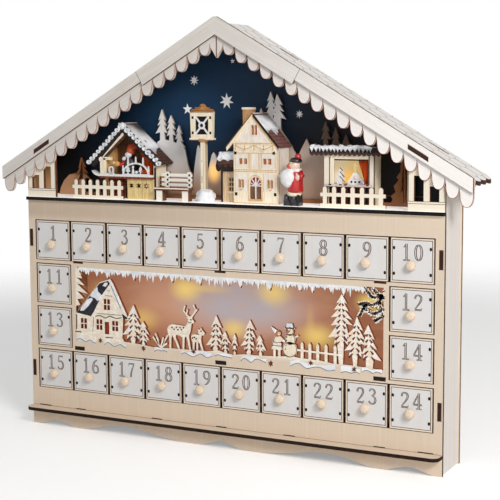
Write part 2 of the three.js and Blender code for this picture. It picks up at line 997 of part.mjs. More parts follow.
function wireNotch(x, low, high) {
  const half = WIRE_NOTCH / 2;
  return block(x - half, INNER_BACK_Y - WIRE_NOTCH, low, x + half, INNER_BACK_Y + 1, high);
}

function shelfTab(x, low, high) {
  const half = SHELF_TAB_WIDTH / 2;
  return block(x - half, FACE_Y, low, x + half, RACK_Y + 1, high);
}

function rack(row, tabs) {
  const top = shelfTop(row);
  const outlines = [rectangle(-INSIDE_X, top - PLY, INSIDE_X, top)];
  for (let column = 0; column <= COLUMNS; column += 1) {
    const x = dividerX(column);
    const high = rowBottom(row) + FRONT_HEIGHT;
    outlines.push(rectangle(x - PLY / 2, top - 1, x + PLY / 2, high));
  }
  const body = sheet(upright, RACK_Y, rackDepth, outlines);
  return joined([body, ...tabs]).subtract(wireNotch(WIRE_X, top - PLY - 1, top + 1));
}

const topTabs = shelfTabs.map((x) =>
  shelfTab(x, shelfTop(0) - PLY, Math.min(shelfTop(0), openingLow(0))),
);
place("top_drawer_rack", rack(0, topTabs), NATURAL);
place("bottom_drawer_rack", rack(ROWS - 1, []), NATURAL);

const lowerShelf = joined([
  block(-INSIDE_X, RACK_Y, shelfTop(2) - PLY, INSIDE_X, INNER_BACK_Y, shelfTop(2)),
  ...shelfTabs.map((x) => shelfTab(x, shelfTop(2) - PLY, shelfTop(2))),
]);
const lowerNotch = wireNotch(WIRE_X, shelfTop(2) - PLY - 1, shelfTop(2) + 1);
place("lower_shelf", lowerShelf.subtract(lowerNotch), NATURAL);

// The two side racks stand beside the window and carry the outer drawers of rows 2 and 3
const SCENE_WIRE_Z = shelfTop(2) + 6;

function sideRack(side) {
  const outer = side * dividerX(COLUMNS);
  const inner = side * dividerX(COLUMNS - 1);
  const low = shelfTop(2);
  const high = shelfTop(0) - PLY;
  const half = PLY / 2;
  const outlines = [
    rectangle(outer - half, low, outer + half, high),
    rectangle(inner - half, low, inner + half, high),
    rectangle(
      Math.min(inner, outer),
      shelfTop(1) - PLY,
      Math.max(inner, outer),
      shelfTop(1),
    ),
  ];
  const body = sheet(upright, RACK_Y, rackDepth, outlines);
  if (side < 0) {
    return body;
  }
  const passage = block(
    inner - PLY,
    INNER_BACK_Y - WIRE_NOTCH,
    SCENE_WIRE_Z - WIRE_NOTCH / 2,
    inner + PLY,
    INNER_BACK_Y + 1,
    SCENE_WIRE_Z + WIRE_NOTCH / 2,
  );
  const notch = wireNotch(WIRE_X, shelfTop(1) - PLY - 1, shelfTop(1) + 1);
  return body.subtract(passage).subtract(notch);
}

place("drawer_rack_left", sideRack(-1), NATURAL);
place("drawer_rack_right", sideRack(1), NATURAL);

// A translucent painted sheet closes the lit box behind the winter scene
const backdropY = INNER_FRONT_Y + SCENE_DEPTH;
const backdropHalf = -dividerX(1) - PLY / 2 - SLOT_GAP;
const backdropOutline = rectangle(
  -backdropHalf,
  shelfTop(2),
  backdropHalf,
  shelfTop(0) - PLY,
);
place("scene_backdrop", sheet(upright, backdropY, PLY, [backdropOutline]), DUSK);

// Roof panels meet at the ridge, and their lower edges are cut in scallops
function roofSection(near, far) {
  return [
    [near, roofTop(near)],
    [far, roofTop(far)],
    [far, roofUnder(far)],
    [near, roofUnder(near)],
  ];
}

function eavePlan(side) {
  const front = SCALLOP_Y + PLY;
  const pitch = (ROOF_BACK_Y - front) / EAVE_SCALLOPS;
  const edge = ROOF_END;
  const steps = 6;
  const points = [[0, front - 10], [edge, front - 10], [edge, front]];
  for (let i = 0; i < EAVE_SCALLOPS; i += 1) {
    for (let j = 1; j <= steps; j += 1) {
      const turn = (Math.PI * j) / steps;
      const out = edge + EAVE_SCALLOP_OUT * Math.sin(turn);
      const along = front + pitch * (i + 0.5 - 0.5 * Math.cos(turn));
      points.push([out, along]);
    }
  }
  points.push([0, ROOF_BACK_Y]);
  return outline(points.map(([x, y]) => [side * x, y]));
}

function roofPanel(side) {
  const faced = (points) => outline(points.map(([x, z]) => [side * x, z]));
  const front = SCALLOP_Y + PLY;
  const near = SLOT_GAP / 2;
  const far = ROOF_END + EAVE_SCALLOP_OUT;
  const depth = ROOF_BACK_Y - front;
  const slab = solid(upright(faced(roofSection(near, far)), front, depth));
  const [x, width] = BARGE_TAB;
  const tabSection = roofSection(x - width / 2, x + width / 2);
  const tab = solid(upright(faced(tabSection), BARGE_Y, front + 1 - BARGE_Y));
  const plan = solid(level(eavePlan(side), 0, RIDGE_Z + 10));
  const slots = BACK_TABS.map((tabPlace) =>
    solid(upright(roofTab(side, tabPlace, SLOT_GAP), INNER_BACK_Y - SLOT_GAP, PLY + 2 * SLOT_GAP)),
  );
  return slots.reduce((rest, slot) => rest.subtract(slot), slab.add(tab).intersect(plan));
}

place("roof_panel_left", roofPanel(-1), WHITEWASH);
place("roof_panel_right", roofPanel(1), WHITEWASH);

// The barge boards run down from the ridge cap, each with a slot for the roof panel's tab
const pitchLength = Math.hypot(1, ROOF_SLOPE);

// Point on the square cut across a board, a vertical height below the board's upper edge
function squareCut(topX, height) {
  const across = height / pitchLength;
  return [
    topX - (across * ROOF_SLOPE) / pitchLength,
    bargeTop(topX) - across / pitchLength,
  ];
}

function slopeSlot(side) {
  const [x, width] = BARGE_TAB;
  const near = x - width / 2 - SLOT_GAP;
  const far = x + width / 2 + SLOT_GAP;
  return outline([
    [side * near, roofTop(near) + SLOT_GAP],
    [side * far, roofTop(far) + SLOT_GAP],
    [side * far, roofUnder(far) - SLOT_GAP],
    [side * near, roofUnder(near) - SLOT_GAP],
  ]);
}

function bargeBoard(side) {
  const start = CAP_HALF + SLOT_GAP;
  const points = [
    [start, bargeTop(start)],
    [ROOF_HALF, bargeTop(ROOF_HALF)],
    [ROOF_HALF, bargeTop(ROOF_HALF) - BARGE_HEIGHT],
    squareCut(start, BARGE_HEIGHT),
  ];
  const board = outline(points.map(([x, z]) => [side * x, z]));
  return sheet(upright, BARGE_Y, PLY, [board], [slopeSlot(side)]);
}

place("barge_board_left", bargeBoard(-1), WHITEWASH);
place("barge_board_right", bargeBoard(1), WHITEWASH);

const capFlat = 1.5;
const capSide = [
  [CAP_HALF, bargeTop(CAP_HALF)],
  [capFlat, bargeTop(capFlat)],
];
const capOutline = outline([
  squareCut(CAP_HALF, CAP_HEIGHT),
  ...capSide,
  ...mirrored(capSide).reverse(),
  ...mirrored([squareCut(CAP_HALF, CAP_HEIGHT)]),
  [0, bargeTop(0) - CAP_HEIGHT],
]);
place("ridge_cap", sheet(upright, BARGE_Y, PLY, [capOutline]), WHITEWASH);

// Scallop trim: a row of round tongues that hang below the barge boards
function scallopTrim(side) {
  const edge = SLOT_GAP / 2;
  const steps = 6;
  const points = [
    [edge, bargeTop(edge) - 1],
    [ROOF_HALF, bargeTop(ROOF_HALF) - 1],
  ];
  for (let i = TONGUES; i >= 1; i -= 1) {
    const x = TONGUE_PITCH * i;
    const centre = bargeTop(x) - TONGUE_DROP + TONGUE_HALF;
    for (let j = 0; j <= steps; j += 1) {
      const turn = (-Math.PI * j) / steps;
      points.push([x + TONGUE_HALF * Math.cos(turn), centre + TONGUE_HALF * Math.sin(turn)]);
    }
    const low = x - TONGUE_HALF;
    const high = x - TONGUE_PITCH + TONGUE_HALF;
    points.push([low, bargeTop(low) - TONGUE_SLOT_DROP]);
    points.push([high, bargeTop(high) - TONGUE_SLOT_DROP]);
  }
  points.push([TONGUE_HALF, bargeTop(0) - TONGUE_DROP]);
  points.push([edge, bargeTop(0) - CENTRE_DROP]);
  const trim = outline(points.map(([x, z]) => [side * x, z]));
  return sheet(upright, SCALLOP_Y, PLY, [trim], [slopeSlot(side)]);
}

place("scallop_trim_left", scallopTrim(-1), WHITEWASH);
place("scallop_trim_right", scallopTrim(1), WHITEWASH);

// Window frames close the two low ends of the stage
const FRAME_END = 0.2;
const FRAME_WIDTH = 30.3;
const FRAME_WINDOWS = [
  [25.5, 8, 27.5],
  [12.6, 7.8, 19.5],
];
const FRAME_SILL = 7.5;
const FRAME_OUTER_X = HALF_WIDTH - FRAME_END;
const FRAME_INNER_X = FRAME_OUTER_X - FRAME_WIDTH;

function windowFrame(side) {
  const frame = outline([
    [side * FRAME_INNER_X, STAGE_TOP],
    [side * FRAME_OUTER_X, STAGE_TOP],
    [side * FRAME_OUTER_X, roofUnder(FRAME_OUTER_X) - SLOT_GAP],
    [side * FRAME_INNER_X, roofUnder(FRAME_INNER_X) - SLOT_GAP],
  ]);
  const windows = FRAME_WINDOWS.map(([end, width, high]) => {
    const near = FRAME_OUTER_X - end;
    return rectangle(side * near, STAGE_TOP + FRAME_SILL, side * (near + width), STAGE_TOP + high);
  });
  return sheet(upright, FACE_Y, PLY, [frame], windows);
}

place("window_frame_left", windowFrame(-1), WARM_WHITE);
place("window_frame_right", windowFrame(1), WARM_WHITE);

// The night sky stands against the back panel, with thin stars glued on
const skyY = INNER_BACK_Y - PLY;
const STAR_THICKNESS = 0.6;
const SKY_STARS = [
  [-45, 103, 4.6, 8],
  [-13, 85, 7, 7],
  [-52, 78, 4.8, 5],
  [-7, 119, 2.2, 5],
  [56, 74, 3.6, 8],
];
const skyStars = SKY_STARS.map(([x, z, radius, spikes]) =>
  star(x, STAGE_TOP + z, radius, spikes),
);
const sky = sheet(upright, skyY, PLY, [outline(gable(INSIDE_X, STAGE_TOP))]);
const stars = sheet(upright, skyY - STAR_THICKNESS, STAR_THICKNESS + 1, skyStars);
place("sky_backdrop", sky.add(stars), NIGHT_BLUE);

// Stage figures: x from the middle, y back from the front panel's face, z from the stage
const stage = new THREE.Group();
stage.position.set(0, FACE_Y, STAGE_TOP);
calendar.add(stage);

const stageDepth = CASE_DEPTH - 2 * PLY;
const firsY = stageDepth - LIGHT_CHANNEL - FIGURE_PLY;
const brownFirsY = firsY - 0.5 - FIGURE_PLY;
const figureBack = brownFirsY - 0.6;

function figureSheet(y, outlines, holes = []) {
  return sheet(upright, y, FIGURE_PLY, outlines, holes);
}

// Pale firs and hills, one sheet with a low ground strip
const paleFirs = [
  fir([-75.8, 78], [-75, 48], [
    [-79.4, 68.4, -71.9, 68.2],
    [-80.4, 63.6, -71.2, 63.4],
    [-82.4, 56.6, -70.6, 57],
  ], 3),
  fir([-66.7, 72.9], [-66.6, 44], [
    [-70, 65.6, -63, 65.2],
    [-71, 60.4, -62.4, 60.2],
    [-71, 54.4, -62, 55],
  ], 3),
  fir([-58.7, 63.9], [-58.6, 40], [
    [-61.4, 57.6, -55.4, 56.2],
    [-62.4, 51.6, -54.6, 49.4],
    [-62, 46, -52.4, 44.6],
  ], 3),
  fir([22, 79], [22, 55], [[18.6, 70, 25.6, 70]], 2.4),
  fir([31.1, 93.1], [31, 58], [
    [27.8, 84.6, 34.6, 84.6],
    [26.8, 79, 36, 79],
    [26, 72, 37, 72],
  ], 3),
  fir([37.1, 91.1], [38, 55], [
    [34, 81.4, 42.2, 81.4],
    [33, 75, 43.4, 76],
    [32, 66, 45.6, 69.6],
  ], 3),
  fir([81.5, 67.9], [81.5, 40], [
    [78.2, 60, 84.8, 60],
    [77.4, 53, 86, 53],
  ], 3),
  fir([90.5, 62.9], [90.5, 40], [
    [87.4, 54, 93.8, 54],
    [86.6, 47.4, 94.8, 47.4],
  ], 3),
  fir([99.6, 57.8], [99.6, 38], [[96.4, 49, 103, 49]], 3),
];
const paleHills = [
  outline([
    [-86, 0], [-84, 30], [-81, 49], [-76, 52], [-66, 50], [-56, 47],
    [-52.6, 43], [-50, 30], [-46, 18], [-42, 0],
  ]),
  outline([[-46, 0], [-43.6, 26], [-40.6, 44], [-39.5, 47], [-37.6, 44], [-34, 22], [-31, 0]]),
  outline([[-33, 0], [-29.4, 26], [-26, 38.6], [-24.4, 41], [-22.6, 39], [-19, 32], [-14, 12], [-12, 0]]),
  outline([[18, 0], [22, 58], [40, 62], [50, 48], [56, 38], [60, 46], [64.3, 53.7], [68.6, 44.6], [72.4, 50], [76, 42], [104, 44], [108, 0]]),
  rectangle(-86, 0, 108, 3.5),
];
place("firs_and_hills", figureSheet(firsY, [...paleFirs, ...paleHills]), WARM_WHITE, stage);

// Brown hill and firs at the two ends of the stage, one sheet with a ground strip
const HILL_END = 7.9;
const hillX = HILL_END - INSIDE_X;
const hill = [[0, 0], [1, 6], [5, 13], [11, 18.4], [18, 20], [25, 17], [29, 0]];
const browns = [
  outline(hill.map(([x, z]) => [hillX + x, z])),
  fir([hillX + 24.6, 34.1], [hillX + 25, 8], [
    [hillX + 21, 25, hillX + 29.4, 25],
    [hillX + 18.4, 19.4, hillX + 32, 19.6],
    [hillX + 17, 14, hillX + 34.6, 14.6],
  ], 3),
  outline([
    [139.6, 0], [142.1, 6], [140.4, 8.4], [144.6, 11.6], [142.9, 16.4], [147.1, 21.4],
    [145.4, 23.8], [149.6, 29.4], [148.7, 33.4], [152.4, 38], [153, 22], [153.4, 0],
  ]),
  rectangle(154.2, 0, 160.6, 34.6),
  rectangle(hillX, 0, 165, 3),
];
place("brown_firs", figureSheet(brownFirsY, browns), BARK, stage);

// Market stall on the left: an open booth with a steep roof, a counter and a candle arch
const STALL_L = {
  left: -124,
  right: -69,
  front: 9,
  ridge: [-101, 66],
  eaves: [-138, -64],
  eaveZ: 32,
};

function stallRoofLine(points, drop) {
  return points.map(([x, z]) => [x, z - drop]);
}

function leftStall() {
  const { left, right, front, ridge, eaves, eaveZ } = STALL_L;
  const line = [[eaves[0], eaveZ], ridge, [eaves[1], eaveZ]];
  const roof = outline([...line, ...stallRoofLine(line, 3).reverse()]);
  const fascia = outline([...line, ...stallRoofLine(line, 6.5).reverse()]);
  const slope = (ridge[1] - eaveZ) / (ridge[0] - eaves[0]);
  const wallTop = (x) => ridge[1] - slope * Math.abs(x - ridge[0]) - 2;
  const wall = (x) =>
    block(x, front + 1, 0, x + FIGURE_PLY, figureBack, wallTop(x < ridge[0] ? x : x + FIGURE_PLY));
  const back = outline([
    [left, 0],
    [right, 0],
    [right, wallTop(right)],
    [ridge[0], ridge[1] - 2],
    [left, wallTop(left)],
  ]);
  const board = sheet(upright, front + 1, FIGURE_PLY, [rectangle(-98, 0, right, 20)], [
    star(-93, 12.5, 2, 6, 0.55),
    star(-86, 12.5, 2, 6, 0.55),
    star(-77.5, 12.5, 2, 6, 0.55),
  ]);
  const counter = outline([
    [-134, 26], [-131, 22.2], [-127, 20], [right, 20], [right, 22.4], [-125, 22.4], [-130, 24],
  ]);
  const arch = [];
  const archX = -87.5;
  for (let i = 0; i <= 8; i += 1) {
    const turn = (Math.PI * i) / 8;
    arch.push([archX + 11.5 * Math.cos(turn), 22 + 13 * Math.sin(turn)]);
  }
  const candles = [0.1, 0.3, 0.5, 0.7, 0.9].map((share) => {
    const turn = Math.PI * share;
    const x = archX + 12 * Math.cos(turn);
    const z = 22 + 13.5 * Math.sin(turn);
    return rectangle(x - 0.8, z - 1, x + 0.8, z + 4);
  });
  const scroll = [];
  for (let i = 0; i <= 8; i += 1) {
    const turn = -1.2 + 5.2 * (i / 8);
    scroll.push([-112 + 2.8 * Math.cos(turn), 25.2 + 3.4 * Math.sin(turn)]);
  }
  return joined([
    solid(upright(roof, front + 1, figureBack - front - 1)),
    solid(upright(fascia, front, FIGURE_PLY)),
    wall(left),
    wall(right - FIGURE_PLY),
    solid(upright(back, figureBack - FIGURE_PLY, FIGURE_PLY)),
    block(left, front + 0.5, 0, left + 5, front + 2.5, wallTop(left)),
    board,
    solid(upright(counter, front - 1, 7)),
    solid(upright(ribbon(arch, 2), front - 1, FIGURE_PLY)),
    ...candles.map((shape) => solid(upright(shape, front - 1, FIGURE_PLY))),
    solid(upright(ribbon(scroll, 1.6), front - 1, FIGURE_PLY)),
  ]);
}

// Its keeper is a small turned figure that leans on the counter
const keeperX = -98;
const keeper = joined([
  turned(keeperX, 20, [[0, 0], [7, 0], [7.5, 14], [5, 30], [0, 33]]),
  ball(keeperX, 20, 35.5, 4.6),
  turned(keeperX, 20, [[0, 36], [4.9, 36.5], [4, 40], [1.4, 43], [0, 43]]),
]);
place("market_stall_left", leftStall().add(keeper), WARM_WHITE, stage);

// Market stall on the right: a framed booth under one lean-to roof
const STALL_R = { left: 90, right: 133, front: 13, sideOut: 3 };

function rightStall() {
  const { left, right, front } = STALL_R;
  const back = figureBack;
  const frame = sheet(upright, front, FIGURE_PLY, [rectangle(left, 0, right, 43)], [
    rectangle(left + 5, 16.6, right - 4, 39),
  ]);
  const roofLine = [
    [front - 2, 42],
    [back, 50],
    [back, 52.6],
    [front - 2, 44.6],
  ];
  const fascia = [[78, 48.6], [140, 48.6], [140, 42]];
  const waves = 10;
  for (let i = waves; i > 0; i -= 1) {
    const x = 78 + (62 * i) / waves;
    fascia.push([x - 62 / waves / 2, 39.6], [x - 62 / waves, 42]);
  }
  return joined([
    frame,
    block(left, front + 1, 0, left + FIGURE_PLY, back, 44),
    block(right - FIGURE_PLY, front + 1, 0, right, back, 44),
    block(left, back - FIGURE_PLY, 0, right, back, 49.5),
    block(left + 1, front - 2.5, 14.6, right - 1, back - 1, 16.6),
    solid(sideways(outline(roofLine), 78, 62)),
    solid(upright(outline(fascia), front - 2.6, FIGURE_PLY)),
    solid(upright(fir([102, 31], [101, 18], [[98, 22, 105.4, 22]], 1), front + 4, FIGURE_PLY)),
    solid(
      upright(
        outline([[112, 16], [124, 16], [124, 22], [118, 33.4], [112, 22]]),
        front + 4,
        FIGURE_PLY,
      ),
    ),
  ]);
}

place("market_stall_right", rightStall(), WARM_WHITE, stage);

// Village house: a tall gabled front with arched windows, a side porch and a chimney
const HOUSE = { left: 10, right: 50, front: 7, ridgeX: 28, ridgeZ: 76, slope: 1.25 };

function villageHouse() {
  const { left, right, front, ridgeX, ridgeZ, slope } = HOUSE;
  const back = figureBack - 1;
  const line = (x) => ridgeZ - slope * Math.abs(x - ridgeX);
  const roofThick = 2.4 * Math.hypot(1, slope);
  const wallOutline = outline([
    [left, 0],
    [right, 0],
    [right, line(right) - 2],
    [ridgeX, ridgeZ - 2],
    [left, line(left) - 2],
  ]);
  const holes = [
    archway(25.2, 4, 30.2, 23.4),
    archway(31, 4, 36, 23.4),
    archway(14, 13, 16.4, 20.4, 4),
    archway(17, 13, 19.4, 20.4, 4),
    archway(41.4, 13, 43.8, 20.4, 4),
    archway(44.4, 13, 46.8, 20.4, 4),
    rectangle(15, 33, 18.4, 38.2),
    rectangle(19.6, 33, 23, 38.2),
    rectangle(37, 33, 40.4, 38.2),
    rectangle(41.6, 33, 45, 38.2),
    archway(27, 57, 29.2, 65, 4),
    archway(29.8, 57, 32, 65, 4),
  ];
  const roofOutline = outline([
    [3.4, line(3.4)],
    [ridgeX, ridgeZ],
    [52, line(52)],
    [52, line(52) - roofThick],
    [ridgeX, ridgeZ - roofThick],
    [3.4, line(3.4) - roofThick],
  ]);
  const hood = outline([
    [-12, 26], [-9, 35], [-6, 43], [left + 1, 43], [left + 1, 26],
    [5.5, 24.6], [1, 26], [-3.5, 24.6], [-8, 26],
  ]);
  const porchWindow = sheet(upright, 14, FIGURE_PLY, [rectangle(-6, 0, left + 1, 26)], [
    rectangle(-2, 9, 1, 13),
    rectangle(2, 9, 5, 13),
    rectangle(-2, 14, 1, 18),
    rectangle(2, 14, 5, 18),
  ]);
  return joined([
    sheet(upright, front, FIGURE_PLY, [wallOutline], holes),
    solid(upright(wallOutline, back - FIGURE_PLY, FIGURE_PLY)),
    block(left, front + 1, 0, left + FIGURE_PLY, back - 1, line(left) - 3),
    block(right - FIGURE_PLY, front + 1, 0, right, back - 1, line(right) - 3),
    solid(upright(roofOutline, front - 1, back + 1 - front)),
    block(11, 18, 56, 22, 24, 80),
    porchWindow,
    block(-6, 15, 0, -4, 26, 26),
    solid(upright(hood, 12, 15)),
  ]);
}

place("village_house", villageHouse(), WARM_WHITE, stage);

// Street lamp: a post with a shallow lantern, a stepped cap and snowballs at its foot
const lampPost = joined([
  block(-22.4, 8, 0, -18.8, 14, 53),
  turned(-20.6, 10.5, [[0, 50], [2.5, 50], [5, 53.4], [0, 53.4]], 8),
  block(-33, 6.5, 52.6, -8.6, 12, 54.4),
  sheet(upright, 7, 4, [
    outline([[-31.4, 54], [-9.8, 54], [-8.4, 76], [-32.8, 76]]),
  ]).subtract(
    joined([
      solid(upright(outline([[-25, 59.4], [-16.4, 59.4], [-20.7, 64]]), 6, 3)),
      solid(upright(outline([[-25, 72.4], [-16.4, 72.4], [-20.7, 68]]), 6, 3)),
      solid(upright(outline([[-26.6, 60.6], [-26.6, 71.2], [-22.4, 66]]), 6, 3)),
      solid(upright(outline([[-14.8, 60.6], [-14.8, 71.2], [-19, 66]]), 6, 3)),
    ]),
  ),
  block(-33, 6, 75.6, -8.2, 12, 77.4),
  block(-31, 6.6, 77, -10.4, 11.4, 79),
  block(-27.6, 7.2, 78.6, -13.6, 10.8, 80.6),
  ball(-20.2, 9, 81.2, 3.8),
  ball(-15.6, 9.4, 7.8, 7.8, 10),
  ball(-27, 14, 5.2, 5.2),
]);
place("lamp_post", lampPost, WARM_WHITE, stage);

// Park bench: a seat on two board legs, with a back of three slats
const slats = [12.6, 16.6, 20.8].map((z) => rectangle(-61.5, z, -31, z + 2.8));
const posts = [-57.5, -36].map((x) => rectangle(x, 10, x + 4, 25));
const bench = joined([
  block(-65.5, 2, 9.4, -31, 11, 11.4),
  block(-63.5, 3, 0, -57.5, 10, 9.8),
  block(-38, 3, 0, -32, 10, 9.8),
  figureSheet(9, [...slats, ...posts]),
]);
place("park_bench", bench, WARM_WHITE, stage);

// Picket fences, each one sheet
function picketFence(left, right, count, y) {
  const width = 3.6;
  const pitch = (right - left - 8) / (count - 1);
  const pickets = [];
  for (let i = 0; i < count; i += 1) {
    const x = left + 4 + pitch * i;
    pickets.push(
      outline([
        [x - width / 2, 0],
        [x + width / 2, 0],
        [x + width / 2, 15],
        [x + width / 2 - 1, 16.4],
        [x - width / 2 + 1, 16.4],
        [x - width / 2, 15],
      ]),
    );
  }
  const rails = [rectangle(left, 0, right, 2.6), rectangle(left, 8.4, right, 11.4)];
  return figureSheet(y, [...rails, ...pickets]);
}

const LEFT_FENCE_GAP = 14.9;
const RIGHT_FENCE_GAP = 21.4;
const leftFence = picketFence(LEFT_FENCE_GAP - FRAME_INNER_X, -98.5, 7, 5);
const rightFence = picketFence(89, FRAME_INNER_X - RIGHT_FENCE_GAP, 7, 7.5);
place("picket_fence_left", leftFence, WARM_WHITE, stage);
place("picket_fence_right", rightFence, WARM_WHITE, stage);

// Santa figure: boots, a belted coat, a full beard and a cap with a bobble
const santa = joined([
  block(59, 2.4, 0, 64.4, 10, 5),
  block(65.6, 2.4, 0, 71, 10, 5),
  turned(62, 7, [[0, 3], [2.7, 3], [2.9, 12], [0, 12]], 6),
  turned(68, 7, [[0, 3], [2.7, 3], [2.9, 12], [0, 12]], 6),
  turned(65, 7, [[0, 10], [7, 10.6], [7.2, 14], [6.4, 22], [5.6, 28], [3, 32], [0, 32]]),
  ball(62.4, 3.4, 23.5, 6.6, 10),
  ball(65.5, 6.4, 34.5, 4.8, 10),
  turned(66, 7, [[0, 37], [4.9, 37], [4.4, 39], [0, 41]]),
  ball(70, 7, 39.5, 2.7),
  ball(71, 6, 23, 3),
]);
place("santa_figure", santa, RED, stage);

// Battery box under the drawer floor, with its lid sliding out to the left from below
const boxTop = shelfTop(ROWS - 1) - PLY;
const boxBottom = boxTop - BATTERY_HEIGHT;
const boxFront = INNER_BACK_Y - BATTERY_DEPTH - 0.5;
const boxEnd = BATTERY_X + BATTERY_LENGTH + SWITCH_BLOCK;
const grooveHigh = LIP + LID_THICKNESS + 2 * SLOT_GAP;
const switchX = BATTERY_X + BATTERY_LENGTH + SWITCH_BLOCK / 2;
const switchY = boxFront + BATTERY_DEPTH / 2;
const switchPocket = SWITCH_SIZE / 2 + SLOT_GAP;

const batteryBox = block(
  BATTERY_X,
  boxFront,
  boxBottom,
  boxEnd,
  boxFront + BATTERY_DEPTH,
  boxTop,
)
  .subtract(
    block(
      BATTERY_X + BATTERY_WALL,
      boxFront + BATTERY_WALL,
      boxBottom + LIP,
      BATTERY_X + BATTERY_LENGTH - BATTERY_WALL,
      boxFront + BATTERY_DEPTH - BATTERY_WALL,
      boxTop - BATTERY_WALL,
    ),
  )
  .subtract(
    block(
      BATTERY_X - 1,
      boxFront + BATTERY_WALL / 2,
      boxBottom + LIP,
      BATTERY_X + BATTERY_LENGTH - BATTERY_WALL,
      boxFront + BATTERY_DEPTH - BATTERY_WALL / 2,
      boxBottom + grooveHigh,
    ),
  )
  .subtract(
    block(
      BATTERY_X - 1,
      boxFront + BATTERY_WALL + 1,
      boxBottom - 1,
      BATTERY_X + BATTERY_LENGTH - BATTERY_WALL - 2,
      boxFront + BATTERY_DEPTH - BATTERY_WALL - 1,
      boxBottom + LIP + 0.5,
    ),
  )
  .subtract(
    block(
      switchX - switchPocket,
      switchY - switchPocket,
      boxBottom - 1,
      switchX + switchPocket,
      switchY + switchPocket + SWITCH_TRAVEL,
      boxBottom + 3,
    ),
  );
place("battery_box", batteryBox, BLACK);

const batteryLid = block(
  BATTERY_X + SLOT_GAP,
  boxFront + BATTERY_WALL / 2 + SLOT_GAP,
  boxBottom + LIP + SLOT_GAP,
  BATTERY_X + BATTERY_LENGTH - BATTERY_WALL - SLOT_GAP,
  boxFront + BATTERY_DEPTH - BATTERY_WALL / 2 - SLOT_GAP,
  boxBottom + LIP + SLOT_GAP + LID_THICKNESS,
);
place("battery_lid", batteryLid, BLACK);

const powerSwitch = joined([
  block(
    switchX - SWITCH_SIZE / 2,
    switchY - SWITCH_SIZE / 2,
    boxBottom + 0.4,
    switchX + SWITCH_SIZE / 2,
    switchY + SWITCH_SIZE / 2,
    boxBottom + 3 - SLOT_GAP,
  ),
  block(switchX - 1.2, switchY - 1.2, boxBottom - 1.4, switchX + 1.2, switchY + 1.2, boxBottom + 1),
]);
place("power_switch", powerSwitch, WARM_WHITE);

// Light string: one wire up behind the drawers, a branch behind the painted sheet,
// and a run behind the firs, with small lamps along both
function wireRun(points) {
  const path = new THREE.CurvePath();
  const corners = points.map((point) => new THREE.Vector3(...point));
  for (let i = 1; i < corners.length; i += 1) {
    path.add(new THREE.LineCurve3(corners[i - 1], corners[i]));
  }
  const section = disc(0, 0, WIRE / 2, 8);
  return joined(
    path.curves.map((curve) =>
      solid(
        new THREE.ExtrudeGeometry(section, { steps: 1, bevelEnabled: false, extrudePath: curve }),
      ),
    ),
  );
}

const knuckle = 0.75 * WIRE;
const sceneLampY = backdropY + PLY + 4;
const stageLampZ = STAGE_TOP + 8;
const stageLampY = wireHoleY;
const wireZ = boxBottom + BATTERY_HEIGHT * 0.6;
const sceneLeft = -SCENE_HALF + 10;
const sceneRight = SCENE_HALF - 6;
const mainRun = [
  [boxEnd + SLOT_GAP, WIRE_Y, wireZ],
  [WIRE_X, WIRE_Y, wireZ],
  [WIRE_X, WIRE_Y, PANEL_TOP - 6],
  [WIRE_X, wireHoleY, PANEL_TOP - 6],
  [WIRE_X, wireHoleY, stageLampZ],
  [-150, stageLampY, stageLampZ],
];
const sceneLamps = [[123.5, 56], [75.7, 23], [37.8, 56], [0, 21.6], [-46.8, 54], [-91.6, 22]];
const sceneRun = [
  [WIRE_X, WIRE_Y, SCENE_WIRE_Z],
  [sceneRight, WIRE_Y, SCENE_WIRE_Z],
  [sceneRight, sceneLampY, SCENE_WIRE_Z + 10],
  ...sceneLamps.map(([x, z]) => [x * artX, sceneLampY, SCENE_BOTTOM + z * artZ]),
  [sceneLeft, sceneLampY, SCENE_BOTTOM + 48 * artZ],
];
const lamps = [...sceneRun.slice(3), [100, stageLampY, stageLampZ], [60, stageLampY, stageLampZ]];
lamps.push([-24, stageLampY, stageLampZ], [-60, stageLampY, stageLampZ]);
lamps.push([-130, stageLampY, stageLampZ]);
const corners = [...mainRun.slice(1), ...sceneRun];
const lightString = joined([
  wireRun(mainRun),
  wireRun(sceneRun),
  ...corners.map(([x, y, z]) => ball(x, y, z, knuckle, 5)),
  ...lamps.map(([x, y, z]) => ball(x, y, z, BEAD_RADIUS, 6)),
]);
place("light_string", lightString, GLOW);

export default calendar;
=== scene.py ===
# An advent calendar in the form of a gabled plywood house: numbered drawers round a lit
# fretwork scene, and a small market on a white stage under the roof. Metres, the front faces -Y.
import math
import random

import bmesh
import bpy
from mathutils import Matrix, Vector, noise


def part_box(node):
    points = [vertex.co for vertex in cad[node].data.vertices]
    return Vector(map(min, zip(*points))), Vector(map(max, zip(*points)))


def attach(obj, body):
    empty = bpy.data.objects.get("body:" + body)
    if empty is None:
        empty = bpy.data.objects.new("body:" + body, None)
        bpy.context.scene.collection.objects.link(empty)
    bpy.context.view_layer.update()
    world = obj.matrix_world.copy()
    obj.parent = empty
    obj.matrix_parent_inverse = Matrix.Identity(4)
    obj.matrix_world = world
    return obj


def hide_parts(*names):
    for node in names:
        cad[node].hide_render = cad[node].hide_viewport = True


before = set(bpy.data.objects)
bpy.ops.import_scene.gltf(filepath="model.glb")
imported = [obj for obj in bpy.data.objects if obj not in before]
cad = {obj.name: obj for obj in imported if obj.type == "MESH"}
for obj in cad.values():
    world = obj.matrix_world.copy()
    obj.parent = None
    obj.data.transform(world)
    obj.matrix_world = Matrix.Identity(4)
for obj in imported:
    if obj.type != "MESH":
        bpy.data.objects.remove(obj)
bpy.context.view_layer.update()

MM = 0.001

# The camera stands to the right of the calendar and a little above its drawers,
# and looks slightly down, with a long lens and no shift.
EYE = Vector((514.0, -967.7, 301.4)) * MM
YAW = math.radians(27.15)
PITCH = math.radians(6.93)
ROLL = math.radians(-0.31)
FOCAL_PIXELS = 1289
PHOTO_PIXELS = 500
SENSOR = 36

